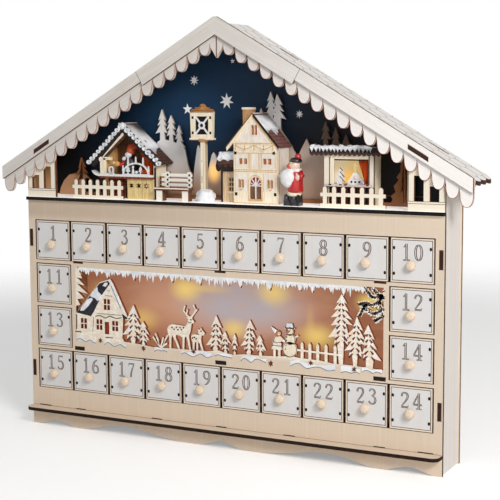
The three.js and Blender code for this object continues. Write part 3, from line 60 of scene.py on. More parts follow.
camera_data = bpy.data.cameras.new("camera")
camera_data.sensor_width = SENSOR
camera_data.lens = SENSOR * FOCAL_PIXELS / PHOTO_PIXELS
camera = bpy.data.objects.new("camera", camera_data)
bpy.context.scene.collection.objects.link(camera)
level_gaze = Vector((-math.sin(YAW), math.cos(YAW), 0)) * math.cos(PITCH)
gaze = level_gaze - Vector((0, 0, math.sin(PITCH)))
aim = gaze.to_track_quat("-Z", "Y").to_matrix().to_4x4()
camera.matrix_world = Matrix.Translation(EYE) @ aim @ Matrix.Rotation(ROLL, 4, "Z")
bpy.context.scene.camera = camera
bpy.context.scene.view_settings.view_transform = "Standard"


# The studio is a pale floor and two large soft lamps in a white room.
# Every finish is a node tree, and this class lets its sums be written as sums.
class Shade:
    """A number, colour or vector in a finish."""

    def __init__(self, finish, socket):
        self.finish = finish
        self.socket = socket

    def worked(self, operation, first, second=0.0):
        return self.finish.node("ShaderNodeMath", {"operation": operation}, first, second)

    def __add__(self, other):
        return self.worked("ADD", self, other)

    __radd__ = __add__

    def __sub__(self, other):
        return self.worked("SUBTRACT", self, other)

    def __rsub__(self, other):
        return self.worked("SUBTRACT", other, self)

    def __mul__(self, other):
        return self.worked("MULTIPLY", self, other)

    __rmul__ = __mul__

    def __truediv__(self, other):
        return self.worked("DIVIDE", self, other)

    def __mod__(self, other):
        return self.worked("FLOORED_MODULO", self, other)

    def __gt__(self, other):
        return self.worked("GREATER_THAN", self, other)

    def __lt__(self, other):
        return self.worked("LESS_THAN", self, other)

    def __abs__(self):
        return self.worked("ABSOLUTE", self)

    def floor(self):
        return self.worked("FLOOR", self)

    def root(self):
        return self.worked("SQRT", self)

    def most(self, other):
        return self.worked("MAXIMUM", self, other)

    def between(self, low, high):
        """0 below low, 1 above high, and a smooth rise between them."""
        settings = {"interpolation_type": "SMOOTHSTEP"}
        return self.finish.node("ShaderNodeMapRange", settings, self, low, high, 0.0, 1.0)


class Finish:
    """A material, with its node tree."""

    def __init__(self, name, roughness=0.6, Specular_IOR_Level=0.2, **fixed):
        self.material = bpy.data.materials.new(name)
        self.material.use_nodes = True
        self.tree = self.material.node_tree
        self.surface = self.tree.nodes["Principled BSDF"]
        self.feed(self.surface.inputs["Roughness"], roughness)
        self.feed(self.surface.inputs["Specular IOR Level"], Specular_IOR_Level)
        for socket, value in fixed.items():
            self.feed(self.surface.inputs[socket.replace("_", " ")], value)

    def feed(self, socket, value):
        if isinstance(value, Shade):
            self.tree.links.new(value.socket, socket)
        elif value is not None:
            if isinstance(value, tuple) and len(value) == 3 and socket.type == "RGBA":
                value = (*value, 1.0)
            socket.default_value = value

    def node(self, kind, settings, *values, out=0, **named):
        """Adds one node: its settings first, then the values or links of its sockets."""
        made = self.tree.nodes.new(kind)
        for name, value in settings.items():
            setattr(made, name, value)
        for socket, value in zip(made.inputs, values):
            self.feed(socket, value)
        for name, value in named.items():
            self.feed(made.inputs[name.replace("_", " ")], value)
        return Shade(self, made.outputs[out])

    def mix(self, share, first, second):
        settings = {"data_type": "RGBA"}
        gap = [None] * 5
        return self.node("ShaderNodeMix", settings, share, *gap, first, second, out=2)

    def place(self):
        """Where a point lies, in millimetres, as x, y and z."""
        here = self.node("ShaderNodeTexCoord", {}, out=3)
        scaled = {"operation": "SCALE"}
        grown = self.node("ShaderNodeVectorMath", scaled, here, None, None, 1 / MM)
        return [self.node("ShaderNodeSeparateXYZ", {}, grown, out=i) for i in range(3)]

    def facing(self):
        """Which way a face looks, as x, y and z."""
        way = self.node("ShaderNodeTexCoord", {}, out=1)
        return [self.node("ShaderNodeSeparateXYZ", {}, way, out=i) for i in range(3)]

    def speckle(self, place, stretch, detail=3.0, seed=0.0):
        """Noise from 0 to 1, with a spot size in millimetres along each axis."""
        scaled = [part / size for part, size in zip(place, stretch)]
        where = self.node("ShaderNodeCombineXYZ", {}, scaled[0] + seed, scaled[1], scaled[2])
        return self.node("ShaderNodeTexNoise", {}, where, None, 1.0, detail, 0.55)

    def raise_by(self, height):
        """Relief in millimetres."""
        bump = self.node("ShaderNodeBump", {}, Strength=1.0, Distance=MM, Height=height)
        self.feed(self.surface.inputs["Normal"], bump)

    def blot(self, place, centre, size, start, end):
        """A round blot seen from the front: 1 inside start, 0 outside end, in shares of its size."""
        across = (place[0] - centre[0]) / size[0]
        up = (place[2] - centre[1]) / size[1]
        return 1 - (across * across + up * up).root().between(start, end)

    def set(self, socket, value):
        self.feed(self.surface.inputs[socket], value)

    def shine(self, colour, strength):
        self.set("Emission Color", colour)
        self.set("Emission Strength", strength)


def paint(red, green, blue):
    """A colour as it looks, from 0 to 255, made into light."""
    shares = [part / 255 for part in (red, green, blue)]
    return tuple(s / 12.92 if s <= 0.04045 else ((s + 0.055) / 1.055) ** 2.4 for s in shares)


def soft_lamp(name, place, aim_at, size, power, tint):
    data = bpy.data.lights.new(name, "AREA")
    data.shape = "SQUARE"
    data.size = size
    data.energy = power
    data.color = tint
    lamp = bpy.data.objects.new(name, data)
    bpy.context.scene.collection.objects.link(lamp)
    way = Vector(aim_at) - Vector(place)
    lamp.matrix_world = Matrix.Translation(place) @ way.to_track_quat("-Z", "Y").to_matrix().to_4x4()


LAMP_TARGET = (0, 0, 0.18)
soft_lamp("key_lamp", (1.0, -0.85, 0.85), LAMP_TARGET, 0.4, 13, (1.0, 0.99, 0.98))
soft_lamp("fill_lamp", (0.6, -1.6, 0.7), LAMP_TARGET, 1.0, 3, (0.98, 0.99, 1.0))

ROOM_LIGHT = 0.33
world = bpy.data.worlds.new("white_room")
world.use_nodes = True
bpy.context.scene.world = world
sky_nodes = world.node_tree
path = sky_nodes.nodes.new("ShaderNodeLightPath")
seen = path.outputs["Is Camera Ray"]
for ray in ("Is Transmission Ray", "Is Glossy Ray"):
    either = sky_nodes.nodes.new("ShaderNodeMath")
    either.operation = "MAXIMUM"
    sky_nodes.links.new(seen, either.inputs[0])
    sky_nodes.links.new(path.outputs[ray], either.inputs[1])
    seen = either.outputs[0]
bright = sky_nodes.nodes.new("ShaderNodeMapRange")
bright.inputs["To Min"].default_value = ROOM_LIGHT
bright.inputs["To Max"].default_value = 1.0
sky_nodes.links.new(seen, bright.inputs["Value"])
sky_nodes.links.new(bright.outputs[0], sky_nodes.nodes["Background"].inputs["Strength"])
sky_nodes.nodes["Background"].inputs["Color"].default_value = (1, 1, 1, 1)

FLOOR_HALF = 2.5
FLOOR_CLEAR = 650
floor_finish = Finish("studio_floor", roughness=0.85, Base_Color=(0.93, 0.93, 0.93))
floor_x, floor_y = floor_finish.place()[:2]
reach = (floor_x * floor_x + floor_y * floor_y).root()
floor_path = floor_finish.node("ShaderNodeLightPath", {})
floor_finish.shine(floor_finish.mix(floor_path, (0, 0, 0), (0.3, 0.3, 0.3)), 1.0)
floor_finish.set("Alpha", 1 - reach.between(FLOOR_CLEAR, 2 * FLOOR_CLEAR))
floor_mesh = bpy.data.meshes.new("studio_floor")
floor_corners = [(x * FLOOR_HALF, y * FLOOR_HALF, 0) for x, y in ((-1, -1), (1, -1), (1, 1), (-1, 1))]
floor_mesh.from_pydata(floor_corners, [], [(0, 1, 2, 3)])
floor_mesh.materials.append(floor_finish.material)
studio_floor = bpy.data.objects.new("studio_floor", floor_mesh)
bpy.context.scene.collection.objects.link(studio_floor)


# The case is 3 mm plywood cut by laser, left bare: front, back, ledge, racks and shelf.
# The faces show a long pale grain, and the cut edges are burnt brown in three layers.
GRAIN_LONG = 60
GRAIN_FINE = 1.1


def ply(name, face, burnt, lie="y", grain="x", wash=None, ground=None, inside=None):
    """Plywood whose sheets lie square to one axis. A wash is thin paint over the face."""
    made = Finish(name)
    place = made.place()
    facing = made.facing()
    along = [GRAIN_LONG if axis == grain else GRAIN_FINE for axis in "xyz"]
    fibre = made.speckle(place, along, 4.0)
    bands = made.speckle(place, [8 * part for part in along], 2.0, 7.0)
    bare = made.mix(fibre.between(0.3, 0.75), tuple(0.90 * c for c in face), face)
    bare = made.mix(bands.between(0.35, 0.7), tuple(0.93 * c for c in face), bare)
    if wash:
        cover = made.speckle(place, [3 * part for part in along], 3.0, 3.0)
        bare = made.mix(0.7 + 0.3 * cover.between(0.25, 0.6), bare, wash)
    if ground:
        level = place[2] + 2.5 * made.speckle(place, (9, 9, 9), 2.0)
        bare = made.mix(1 - level.between(*ground[0]), bare, ground[1])
    if inside:
        bare = made.mix(facing[0] * place[0] > 0.0, inside, bare)
    char = made.speckle(place, (5, 5, 5), 4.0)
    edge = 1 - abs(facing["xyz".index(lie)]).between(0.55, 0.75)
    cut = made.mix(char.between(0.3, 0.7), tuple(0.55 * c for c in burnt), burnt)
    made.bare, made.edge, made.cut = bare, edge, cut
    made.set("Base Color", made.mix(edge, bare, cut))
    made.set("Roughness", 0.62 + 0.2 * fibre)
    made.raise_by(0.05 * fibre + 0.04 * char * edge)
    return made


def coat(finish, *names):
    """Puts a finish on solids that keep their shape."""
    for name in names:
        cad[name].data.materials.clear()
        cad[name].data.materials.append(finish.material)


BIRCH = paint(230, 211, 189)
BURNT = paint(84, 48, 32)
back_ply = ply("back_ply", BIRCH, paint(140, 108, 80), grain="z")
coat(back_ply, "back_panel")
level_ply = ply("level_ply", BIRCH, paint(40, 22, 15), lie="z")
coat(level_ply, "base_ledge", "lower_shelf")
rack_ply = ply("rack_ply", paint(196, 160, 120), paint(70, 40, 26), lie="x", grain="y")
coat(rack_ply, "top_drawer_rack", "bottom_drawer_rack", "drawer_rack_left", "drawer_rack_right")

side_wash = paint(232, 226, 220)
side_ply = ply("side_ply", BIRCH, paint(58, 34, 24), "x", "z", side_wash, inside=paint(186, 146, 104))
coat(side_ply, "side_panel_left", "side_panel_right")
stage_ply = ply("stage_ply", BIRCH, paint(13, 10, 10), lie="z", wash=paint(252, 251, 250))
# The top of the stage floor glows a little: painted light on its snow, which lifts it out of the shade of
# the roof
snow_top_glow = stage_ply.facing()[2] > 0.5
stage_ply.shine(stage_ply.mix(snow_top_glow, (0, 0, 0), paint(255, 252, 248)), 0.4)
coat(stage_ply, "stage_floor")


# A drawer is a thin tray with a square front, whitewashed inside an engraved line.
# Its number is engraved as an outline, and the knob is turned from beech and left bare.
UPRIGHT = Matrix(((1, 0, 0, 0), (0, 0, 1, 0), (0, 1, 0, 0), (0, 0, 0, 1)))
ROD_SIDES = 8


class Work:
    """A mesh put together from boards, plates and turned pieces, each with its finish."""

    def __init__(self, name, origin=(0, 0, 0)):
        self.name = name
        self.mesh = bmesh.new()
        self.finishes = []
        self.origin = Vector(origin)

    def add(self, part, finish, smooth=False):
        if finish not in self.finishes:
            self.finishes.append(finish)
        bmesh.ops.recalc_face_normals(part, faces=part.faces)
        for face in part.faces:
            face.material_index = self.finishes.index(finish)
            face.smooth = smooth
        carried = bpy.data.meshes.new("part")
        part.to_mesh(carried)
        part.free()
        self.mesh.from_mesh(carried)
        bpy.data.meshes.remove(carried)

    def block(self, low, high, finish, ease=0.15):
        """A board between two corners, with its edges eased."""
        part = bmesh.new()
        bmesh.ops.create_cube(part, size=1)
        low, high = Vector(low), Vector(high)
        for corner in part.verts:
            corner.co = Vector(l + (c + 0.5) * (h - l) for l, c, h in zip(low, corner.co, high))
        if ease:
            bmesh.ops.bevel(part, geom=part.edges[:], offset=ease, segments=1, affect="EDGES")
        self.add(part, finish)

    def plate(self, loops, low, thickness, finish, lie=UPRIGHT, ease=0):
        """A sheet cut to closed outlines: loops inside others are holes."""
        part = bmesh.new()
        edges = []
        for loop in loops:
            corners = [part.verts.new((u, v, low)) for u, v in loop]
            edges += [part.edges.new(pair) for pair in zip(corners, corners[1:] + corners[:1])]
        filled = bmesh.ops.triangle_fill(part, edges=edges, use_beauty=True)["geom"]
        faces = [piece for piece in filled if isinstance(piece, bmesh.types.BMFace)]
        grown = bmesh.ops.extrude_face_region(part, geom=faces)["geom"]
        top = [piece for piece in grown if isinstance(piece, bmesh.types.BMVert)]
        bmesh.ops.translate(part, vec=(0, 0, thickness), verts=top)
        bmesh.ops.recalc_face_normals(part, faces=part.faces)
        part.transform(lie)
        if ease:
            sharp = [e for e in part.edges if e.is_manifold and e.calc_face_angle() > 1]
            bmesh.ops.bevel(part, geom=sharp, offset=ease, segments=2, affect="EDGES", clamp_overlap=True)
        self.add(part, finish, smooth=bool(ease))

    def turned(self, profile, centre, finish, axis="z", steps=20):
        """A piece turned on a lathe, from pairs of radius and height."""
        part = bmesh.new()
        rings = []
        for radius, height in profile:
            ring = disc(0, 0, radius, steps) if radius else [(0, 0)]
            rings.append([part.verts.new((x, y, height)) for x, y in ring])
        for lower, upper in zip(rings, rings[1:]):
            for i in range(steps):
                j = (i + 1) % steps
                corners = [lower[i % len(lower)], lower[j % len(lower)]]
                corners += [upper[j % len(upper)], upper[i % len(upper)]]
                corners = list(dict.fromkeys(corners))
                if len(corners) > 2:
                    part.faces.new(corners)
        for ring in (rings[0], rings[-1]):
            if len(ring) > 1:
                part.faces.new(ring)
        turn = Matrix.Rotation(math.pi / 2, 4, "X") if axis == "y" else Matrix.Identity(4)
        part.transform(Matrix.Translation(centre) @ turn)
        self.add(part, finish, smooth=True)

    def ball(self, centre, radius, finish, lumps=0.0, flat=(1, 1, 1)):
        """A round piece, worked lumpy or flattened."""
        part = bmesh.new()
        bmesh.ops.create_icosphere(part, subdivisions=3, radius=1)
        for corner in part.verts:
            swell = 1 + lumps * noise.noise(corner.co * 2.3 + Vector(centre))
            corner.co = Vector(c * f * radius * swell for c, f in zip(corner.co, flat))
        part.transform(Matrix.Translation(centre))
        self.add(part, finish, smooth=True)

    def rod(self, points, radius, finish):
        """A round bar bent along points; radius is one number, or one for each point."""
        part = bmesh.new()
        points = [Vector(p) for p in points]
        rings = []
        angles = [2 * math.pi * k / ROD_SIDES for k in range(ROD_SIDES)]
        for i, point in enumerate(points):
            way = points[min(i + 1, len(points) - 1)] - points[max(i - 1, 0)]
            turn = way.to_track_quat("Z", "Y").to_matrix()
            size = radius[i] if isinstance(radius, (list, tuple)) else radius
            ring = [turn @ Vector((size * math.cos(a), size * math.sin(a), 0)) + point for a in angles]
            rings.append([part.verts.new(p) for p in ring])
        for lower, upper in zip(rings, rings[1:]):
            for k in range(ROD_SIDES):
                j = (k + 1) % ROD_SIDES
                part.faces.new((lower[k], lower[j], upper[j], upper[k]))
        part.faces.new(rings[0])
        part.faces.new(rings[-1])
        self.add(part, finish, smooth=True)

    def done(self, body, slot, *replaced):
        """Closes the mesh and rides it on its body, in place of the solids it stands for."""
        mesh = bpy.data.meshes.new(self.name)
        self.mesh.transform(Matrix.Scale(MM, 4) @ Matrix.Translation(self.origin))
        self.mesh.to_mesh(mesh)
        self.mesh.free()
        for finish in self.finishes:
            mesh.materials.append(finish.material)
        piece = bpy.data.objects.new(self.name, mesh)
        bpy.context.scene.collection.objects.link(piece)
        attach(piece, body)
        if replaced:
            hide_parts(*replaced)


def rectangle(left, low, right, high):
    return [(left, low), (right, low), (right, high), (left, high)]


def arc(x, y, wide, high, start, end, steps):
    """Points on part of an oval, from one angle to another."""
    turns = [start + (end - start) * i / steps for i in range(steps + 1)]
    return [(x + wide * math.cos(t), y + high * math.sin(t)) for t in turns]


def disc(x, y, radius, steps=16):
    angles = [2 * math.pi * i / steps for i in range(steps)]
    return [(x + radius * math.cos(a), y + radius * math.sin(a)) for a in angles]


def curved(points, closed=False, steps=5):
    """Points on a smooth line through the given ones."""
    count = len(points)
    line = []
    for i in range(count if closed else count - 1):
        if closed:
            near = [points[(i + k) % count] for k in (-1, 0, 1, 2)]
        else:
            near = [points[min(max(i + k, 0), count - 1)] for k in (-1, 0, 1, 2)]
        for j in range(steps):
            t = j / steps
            weights = (
                -t + 2 * t**2 - t**3,
                2 - 5 * t**2 + 3 * t**3,
                t + 4 * t**2 - 3 * t**3,
                -(t**2) + t**3,
            )
            parts = zip(*near)
            line.append(tuple(sum(w * c for w, c in zip(weights, part)) / 2 for part in parts))
    if not closed:
        line.append(tuple(points[-1]))
    return line


def ribbon(points, width):
    """The outline of a strip along a line; a point's third number is its own half width."""
    left = []
    right = []
    for i, point in enumerate(points):
        before = points[max(i - 1, 0)]
        after = points[min(i + 1, len(points) - 1)]
        run = math.hypot(after[0] - before[0], after[1] - before[1]) or 1
        half = point[2] + width / 2 if len(point) > 2 else width / 2
        dx = (after[1] - before[1]) / run * half
        dy = (after[0] - before[0]) / run * half
        left.append((point[0] - dx, point[1] + dy))
        right.append((point[0] + dx, point[1] - dy))
    return left + right[::-1]


# Strokes of each digit for a height of 1: x, y and half the stroke's width
BOWL_SIX = [(0.43, 0.93, 0.04), (0.27, 0.87, 0.05), (0.13, 0.67, 0.07), (0.07, 0.4, 0.08)]
BOWL_SIX += [(0.11, 0.14, 0.07), (0.27, 0.03, 0.05), (0.44, 0.12, 0.07), (0.48, 0.3, 0.075)]
BOWL_SIX += [(0.41, 0.49, 0.06), (0.27, 0.55, 0.045), (0.14, 0.47, 0.04)]


def ring_stroke(x, y, wide, high):
    turns = [math.pi * (0.5 + i / 6) for i in range(13)]
    thick = [0.045 + 0.035 * abs(math.cos(t)) for t in turns]
    return [(x + wide * math.cos(t), y + high * math.sin(t), w) for t, w in zip(turns, thick)]


DIGITS = {
    "0": [ring_stroke(0.27, 0.5, 0.2, 0.46)],
    "1": [
        [(0.3, 0.0, 0.07), (0.3, 1.02, 0.07)],
        [(0.12, 0.8, 0.04), (0.3, 0.96, 0.06)],
        [(0.08, 0.02, 0.045), (0.52, 0.02, 0.045)],
    ],
    "2": [
        [(0.08, 0.72, 0.06), (0.12, 0.89, 0.055), (0.27, 0.96, 0.045), (0.43, 0.88, 0.065),
         (0.46, 0.72, 0.07), (0.37, 0.5, 0.06), (0.2, 0.27, 0.045), (0.07, 0.08, 0.04)],
        [(0.05, 0.06, 0.055), (0.48, 0.06, 0.055)],
        [(0.47, 0.05, 0.03), (0.51, 0.2, 0.025)],
    ],
    "3": [
        [(0.08, 0.8, 0.05), (0.15, 0.93, 0.045), (0.28, 0.96, 0.045), (0.42, 0.86, 0.06),
         (0.41, 0.67, 0.055), (0.22, 0.54, 0.035)],
        [(0.22, 0.54, 0.035), (0.4, 0.47, 0.05), (0.48, 0.28, 0.07), (0.41, 0.09, 0.06),
         (0.26, 0.03, 0.045), (0.12, 0.08, 0.05), (0.06, 0.2, 0.055)],
    ],
    "4": [
        [(0.36, 0.95, 0.05), (0.03, 0.3, 0.05)],
        [(0.0, 0.28, 0.055), (0.58, 0.28, 0.055)],
        [(0.38, 0.02, 0.07), (0.38, 1.0, 0.07)],
        [(0.2, 0.02, 0.04), (0.56, 0.02, 0.04)],
    ],
    "5": [
        [(0.12, 0.94, 0.05), (0.47, 0.94, 0.05)],
        [(0.13, 0.95, 0.035), (0.1, 0.52, 0.035)],
        [(0.1, 0.52, 0.04), (0.26, 0.6, 0.045), (0.42, 0.51, 0.06), (0.48, 0.3, 0.07),
         (0.4, 0.1, 0.06), (0.24, 0.03, 0.045), (0.11, 0.08, 0.05), (0.06, 0.2, 0.055)],
    ],
    "6": [BOWL_SIX],
    "7": [
        [(0.06, 0.94, 0.05), (0.5, 0.94, 0.05)],
        [(0.07, 0.95, 0.03), (0.04, 0.78, 0.025)],
        [(0.48, 0.92, 0.035), (0.34, 0.6, 0.05), (0.25, 0.28, 0.06), (0.22, 0.02, 0.065)],
    ],
    "8": [ring_stroke(0.27, 0.74, 0.17, 0.22), ring_stroke(0.27, 0.27, 0.21, 0.24)],
    "9": [[(0.54 - x, 1 - y, w) for x, y, w in BOWL_SIX]],
}
DIGIT_HEIGHT = 13.0
DIGIT_WIDTH = 0.54 * DIGIT_HEIGHT
DIGIT_PITCH = 10.4
DIGIT_TOP_DROP = 4.8
DIGIT_LINE = 0.68
DIGIT_CORE = 0.12
STROKE_STEP = 0.004
LAYER = 0.05

FRONT_PLY = 3.0
RIM = 1.5
RIM_LINE = 0.5
SPOT = (0.8, 1.1)
SPOT_IN = 1.55
FRONT_EASE = 0.2
CUT_LINE = 0.3
SPOT_HEIGHTS = (0.2, 0.77)
TRAY_PLAY = 0.15
TRAY_WALL = 2.0
TRAY_SINK = 1.7
TRAY_TOP = 32.7
KNOB_HEIGHT = 14.2
KNOB_PROFILE = [
    (2.4, 0), (2.5, 0.5), (3.0, 1.2), (3.7, 2.0), (4.0, 2.9), (3.95, 3.9), (3.6, 4.9),
    (2.9, 5.55), (1.8, 5.9), (0, 6.0),
]

front_wash = ply("front_wash", paint(232, 218, 202), BURNT, grain="z", wash=paint(222, 221, 221))
front_rim = ply("front_rim", paint(240, 226, 208), paint(42, 26, 19))
engraved = Finish("engraved_line", roughness=0.8)
burn = engraved.speckle(engraved.place(), (2, 2, 2))
engraved.set("Base Color", engraved.mix(burn, paint(62, 38, 26), paint(104, 70, 50)))
scorched = Finish("scorched_tab", roughness=0.85)
scorch = scorched.speckle(scorched.place(), (1.5, 1.5, 1.5))
scorched.set("Base Color", scorched.mix(scorch, paint(20, 13, 10), paint(52, 32, 22)))
beech = Finish("beech_knob", roughness=0.5)
knob_grain = beech.speckle(beech.place(), (1.2, 9, 1.2), 4.0)
beech.set("Base Color", beech.mix(knob_grain.between(0.3, 0.7), paint(222, 197, 168), paint(240, 224, 203)))
beech.raise_by(0.03 * knob_grain)
TRAY_BIRCH = paint(222, 196, 158)
TRAY_EDGE = paint(128, 88, 58)
tray_floor = ply("tray_floor", TRAY_BIRCH, TRAY_EDGE, lie="z", grain="y")
tray_side = ply("tray_side", TRAY_BIRCH, TRAY_EDGE, lie="x", grain="y")
tray_end = ply("tray_end", TRAY_BIRCH, TRAY_EDGE, lie="y", grain="x")


def drawn_digits(work, number, low, centre, front):
    """The number as a dark line round a pale inside, digit by digit."""
    digits = str(number)
    for place, digit in enumerate(digits):
        left = centre + DIGIT_PITCH * (place - (len(digits) - 1) / 2) - DIGIT_WIDTH / 2
        for k, stroke in enumerate(DIGITS[digit]):
            line = curved(stroke) if len(stroke) > 2 else stroke
            at = [
                (left + x * DIGIT_HEIGHT, low + y * DIGIT_HEIGHT, w * DIGIT_HEIGHT)
                for x, y, w in line
            ]
            step = STROKE_STEP * k
            work.plate([ribbon(at, 0.0)], front - LAYER - step, LAYER, engraved)
            inner = [(x, y, max(w - DIGIT_LINE, DIGIT_CORE)) for x, y, w in at]
            work.plate([ribbon(inner, 0.0)], front - 2 * LAYER - step, LAYER, front_wash)


for name in sorted(n for n in cad if n.startswith("drawer_") and n[-2:].isdigit()):
    number = int(name[-2:])
    lowest, highest = (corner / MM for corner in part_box(name))
    centre = (lowest.x + highest.x) / 2
    half = (highest.x - lowest.x) / 2
    low, high = lowest.z, highest.z
    face = lowest.y + KNOB_PROFILE[-1][1]
    rear = highest.y
    front = Work(name + "_front")
    sawn = half - FRONT_EASE
    front.block((centre - sawn, face, low), (centre + sawn, face + FRONT_PLY, high), front_rim, 0.25)
    outer = rectangle(centre - sawn, low, centre + sawn, high)
    drawn_in = rectangle(centre - sawn + CUT_LINE, low + CUT_LINE, centre + sawn - CUT_LINE, high - CUT_LINE)
    front.plate([outer, drawn_in], face - LAYER, LAYER, engraved)
    field = rectangle(centre - half + RIM, low + RIM, centre + half - RIM, high - RIM)
    inset = RIM + RIM_LINE
    inner = rectangle(centre - half + inset, low + inset, centre + half - inset, high - inset)
    front.plate([field], face - LAYER, LAYER, engraved)
    front.plate([inner], face - 2 * LAYER, LAYER, front_wash)
    for side in (-1, 1):
        for share in SPOT_HEIGHTS:
            x = centre + side * (half - RIM - SPOT_IN)
            z = low + share * (high - low)
            spot = rectangle(x - SPOT[0], z - SPOT[1], x + SPOT[0], z + SPOT[1])
            front.plate([curved(spot, True, 3)], face - 4 * LAYER, 2 * LAYER, scorched)
    digit_low = high - DIGIT_TOP_DROP - DIGIT_HEIGHT
    drawn_digits(front, number, digit_low, centre, face - 2 * LAYER)
    front.done(name, "whitewashed_ply", name)

    tray = Work(name + "_tray")
    wide = half - TRAY_PLAY
    bottom = low + TRAY_SINK
    back = face + FRONT_PLY
    tray.block((centre - wide, back, bottom), (centre + wide, rear, bottom + TRAY_WALL), tray_floor)
    for side in (-1, 1):
        left = centre + side * wide - (TRAY_WALL if side > 0 else 0)
        wall = (left, back, bottom + TRAY_WALL), (left + TRAY_WALL, rear, low + TRAY_TOP)
        tray.block(*wall, tray_side)
    inner_half = wide - TRAY_WALL
    for near in (back, rear - TRAY_WALL):
        corner = (centre - inner_half, near, bottom + TRAY_WALL)
        tray.block(corner, (centre + inner_half, near + TRAY_WALL, low + TRAY_TOP), tray_end)
    tray.done(name, "whitewashed_ply")

    knob = Work(name + "_knob")
    knob.turned(KNOB_PROFILE, (centre, face - 2 * LAYER, low + KNOB_HEIGHT), beech, "y")
    knob.done(name, "whitewashed_ply")


# The base ledge is let into the foot of the panel. Its burnt tabs show along the seam as
# seven dark strips, and a thin dark line of burnt edge runs between them.
ledge_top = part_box("base_ledge")[1].z / MM
case_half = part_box("base_ledge")[1].x / MM
panel_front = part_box("front_panel")[0].y / MM
SEAM_LINE = 0.25
SEAM_TAB = 0.9
SEAM_TABS = [(0, 10)]
for from_end, tab_length in ((133.2, 10.5), (52.9, 10), (13.9, 13)):
    SEAM_TABS += [(side * (case_half - from_end), tab_length) for side in (-1, 1)]
seam = Work("ledge_seam")
seam_line = rectangle(-case_half + 1, ledge_top, case_half - 1, ledge_top + SEAM_LINE)
seam.plate([seam_line], panel_front - LAYER, LAYER, engraved)
for x, tab_length in SEAM_TABS:
    seam_tab = rectangle(x - tab_length / 2, ledge_top, x + tab_length / 2, ledge_top + SEAM_TAB)
    seam.plate([seam_tab], panel_front - 2 * LAYER, 2 * LAYER, scorched)
seam.done("case", "natural_ply")


# The winter scene is fretted out of the front panel itself, and painted: snow on the ground,
# the icicles and the roof, dark paint on the cottage roof, and engraved lines for the rest.
# Its drawing has its own units, from the middle of the window's sill.
FACE_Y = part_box("front_panel")[0].y / MM
SCENE = (-147.4, 76.0, 147.4, 148.0)
SCENE_UNIT = SCENE[2] / 146.8
PAINT = 0.12

panel_ply = ply("panel_ply", BIRCH, BURNT, grain="z")
panel_place = panel_ply.place()
in_scene = (SCENE[2] - abs(panel_place[0])).between(-0.5, 0.5)
in_scene = in_scene * (panel_place[2] - SCENE[1]).between(4, 9) * (panel_place[2] < SCENE[3] - 1)
dabs = panel_ply.speckle(panel_place, (3.2, 3.2, 2.0), 3.0, 5.0)
scene_wash = panel_ply.mix(dabs.between(0.4, 0.65), paint(238, 222, 198), paint(250, 243, 232))
washed_face = panel_ply.mix(in_scene, panel_ply.bare, scene_wash)
TEETH = (141.2, 147.6)
TEETH_ENDS = (-143, 128)
in_teeth = (panel_place[2] > TEETH[0]) * (panel_place[2] < TEETH[1]) * (abs(panel_place[0]) < SCENE[2])
in_teeth = in_teeth * (panel_place[0] < TEETH_ENDS[1]) * (panel_place[0] > TEETH_ENDS[0])
washed_face = panel_ply.mix(in_teeth, washed_face, paint(240, 240, 242))
in_frets = (abs(panel_place[0]) < SCENE[2]) * (panel_place[2] > SCENE[1] + 2)
in_frets = in_frets * (panel_place[2] < SCENE[3])
fret_cut = panel_ply.mix(in_frets, panel_ply.cut, paint(132, 66, 40))
fret_cut = panel_ply.mix(in_teeth, fret_cut, paint(196, 170, 150))
# Painted shade: the header strip over the drawers is darkened towards the left
HEADER_SHADE_BAND = (186, 196)
header = panel_place[2].between(*HEADER_SHADE_BAND) * (1 - (panel_place[0] + 200).between(0, 420))
washed_face = panel_ply.mix(0.3 * header, washed_face, paint(120, 88, 62))
panel_ply.set("Base Color", panel_ply.mix(panel_ply.edge, washed_face, fret_cut))
coat(panel_ply, "front_panel")

snow = Finish("snow_paint", roughness=0.75)
snow_grain = snow.speckle(snow.place(), (0.9, 0.9, 0.9), 4.0)
snow_drift = snow.speckle(snow.place(), (6, 6, 6), 2.0)
snow.set("Base Color", snow.mix(snow_drift.between(0.3, 0.7), paint(224, 227, 233), paint(248, 248, 248)))
snow.raise_by(0.12 * snow_grain)


def wood(name, dark, light, spot=(1.2, 1.2, 14)):
    """Stained or painted wood with its grain showing."""
    made = Finish(name, roughness=0.7)
    grain = made.speckle(made.place(), spot, 4.0)
    made.set("Base Color", made.mix(grain.between(0.3, 0.7), dark, light))
    made.raise_by(0.05 * grain)
    return made


slate = wood("slate_paint", paint(34, 34, 42), paint(52, 50, 60), (4, 4, 4))
cream = wood("cream_wood", paint(236, 220, 190), paint(248, 238, 216))
# A dark red paint that glows a little: painted light on the cottage panes, behind the house windows and on
# the keeper's cap
red_with_glow = wood("red_paint_glowing", paint(112, 42, 24), paint(164, 78, 46), (2, 2, 2))
red_with_glow.shine(paint(150, 56, 30), 0.35)
fret_gap = wood("fret_gap", paint(70, 34, 24), paint(128, 66, 42), (2, 2, 2))
line_grey = wood("grey_line", paint(96, 104, 116), paint(132, 138, 148), (2, 2, 2))
rust = wood("rust_paint", paint(150, 84, 44), paint(206, 140, 96), (1.5, 1.5, 1.5))
deep_cut = wood("deep_cut", paint(84, 40, 26), paint(120, 60, 38), (2, 2, 2))

winter = Work("winter_scene_paint")


def in_window(points):
    """Drawing units to millimetres on the panel."""
    return [(x * SCENE_UNIT, SCENE[1] + z, *rest) for x, z, *rest in points]


def painted(finish, *loops, out=1):
    for loop in loops:
        winter.plate([in_window(loop)], FACE_Y - PAINT * out, PAINT * out, finish)


def drawn(finish, width, *lines, out=2):
    for line in lines:
        path = curved(line, False, 4) if len(line) > 2 else line
        painted(finish, ribbon(path, width), out=out)


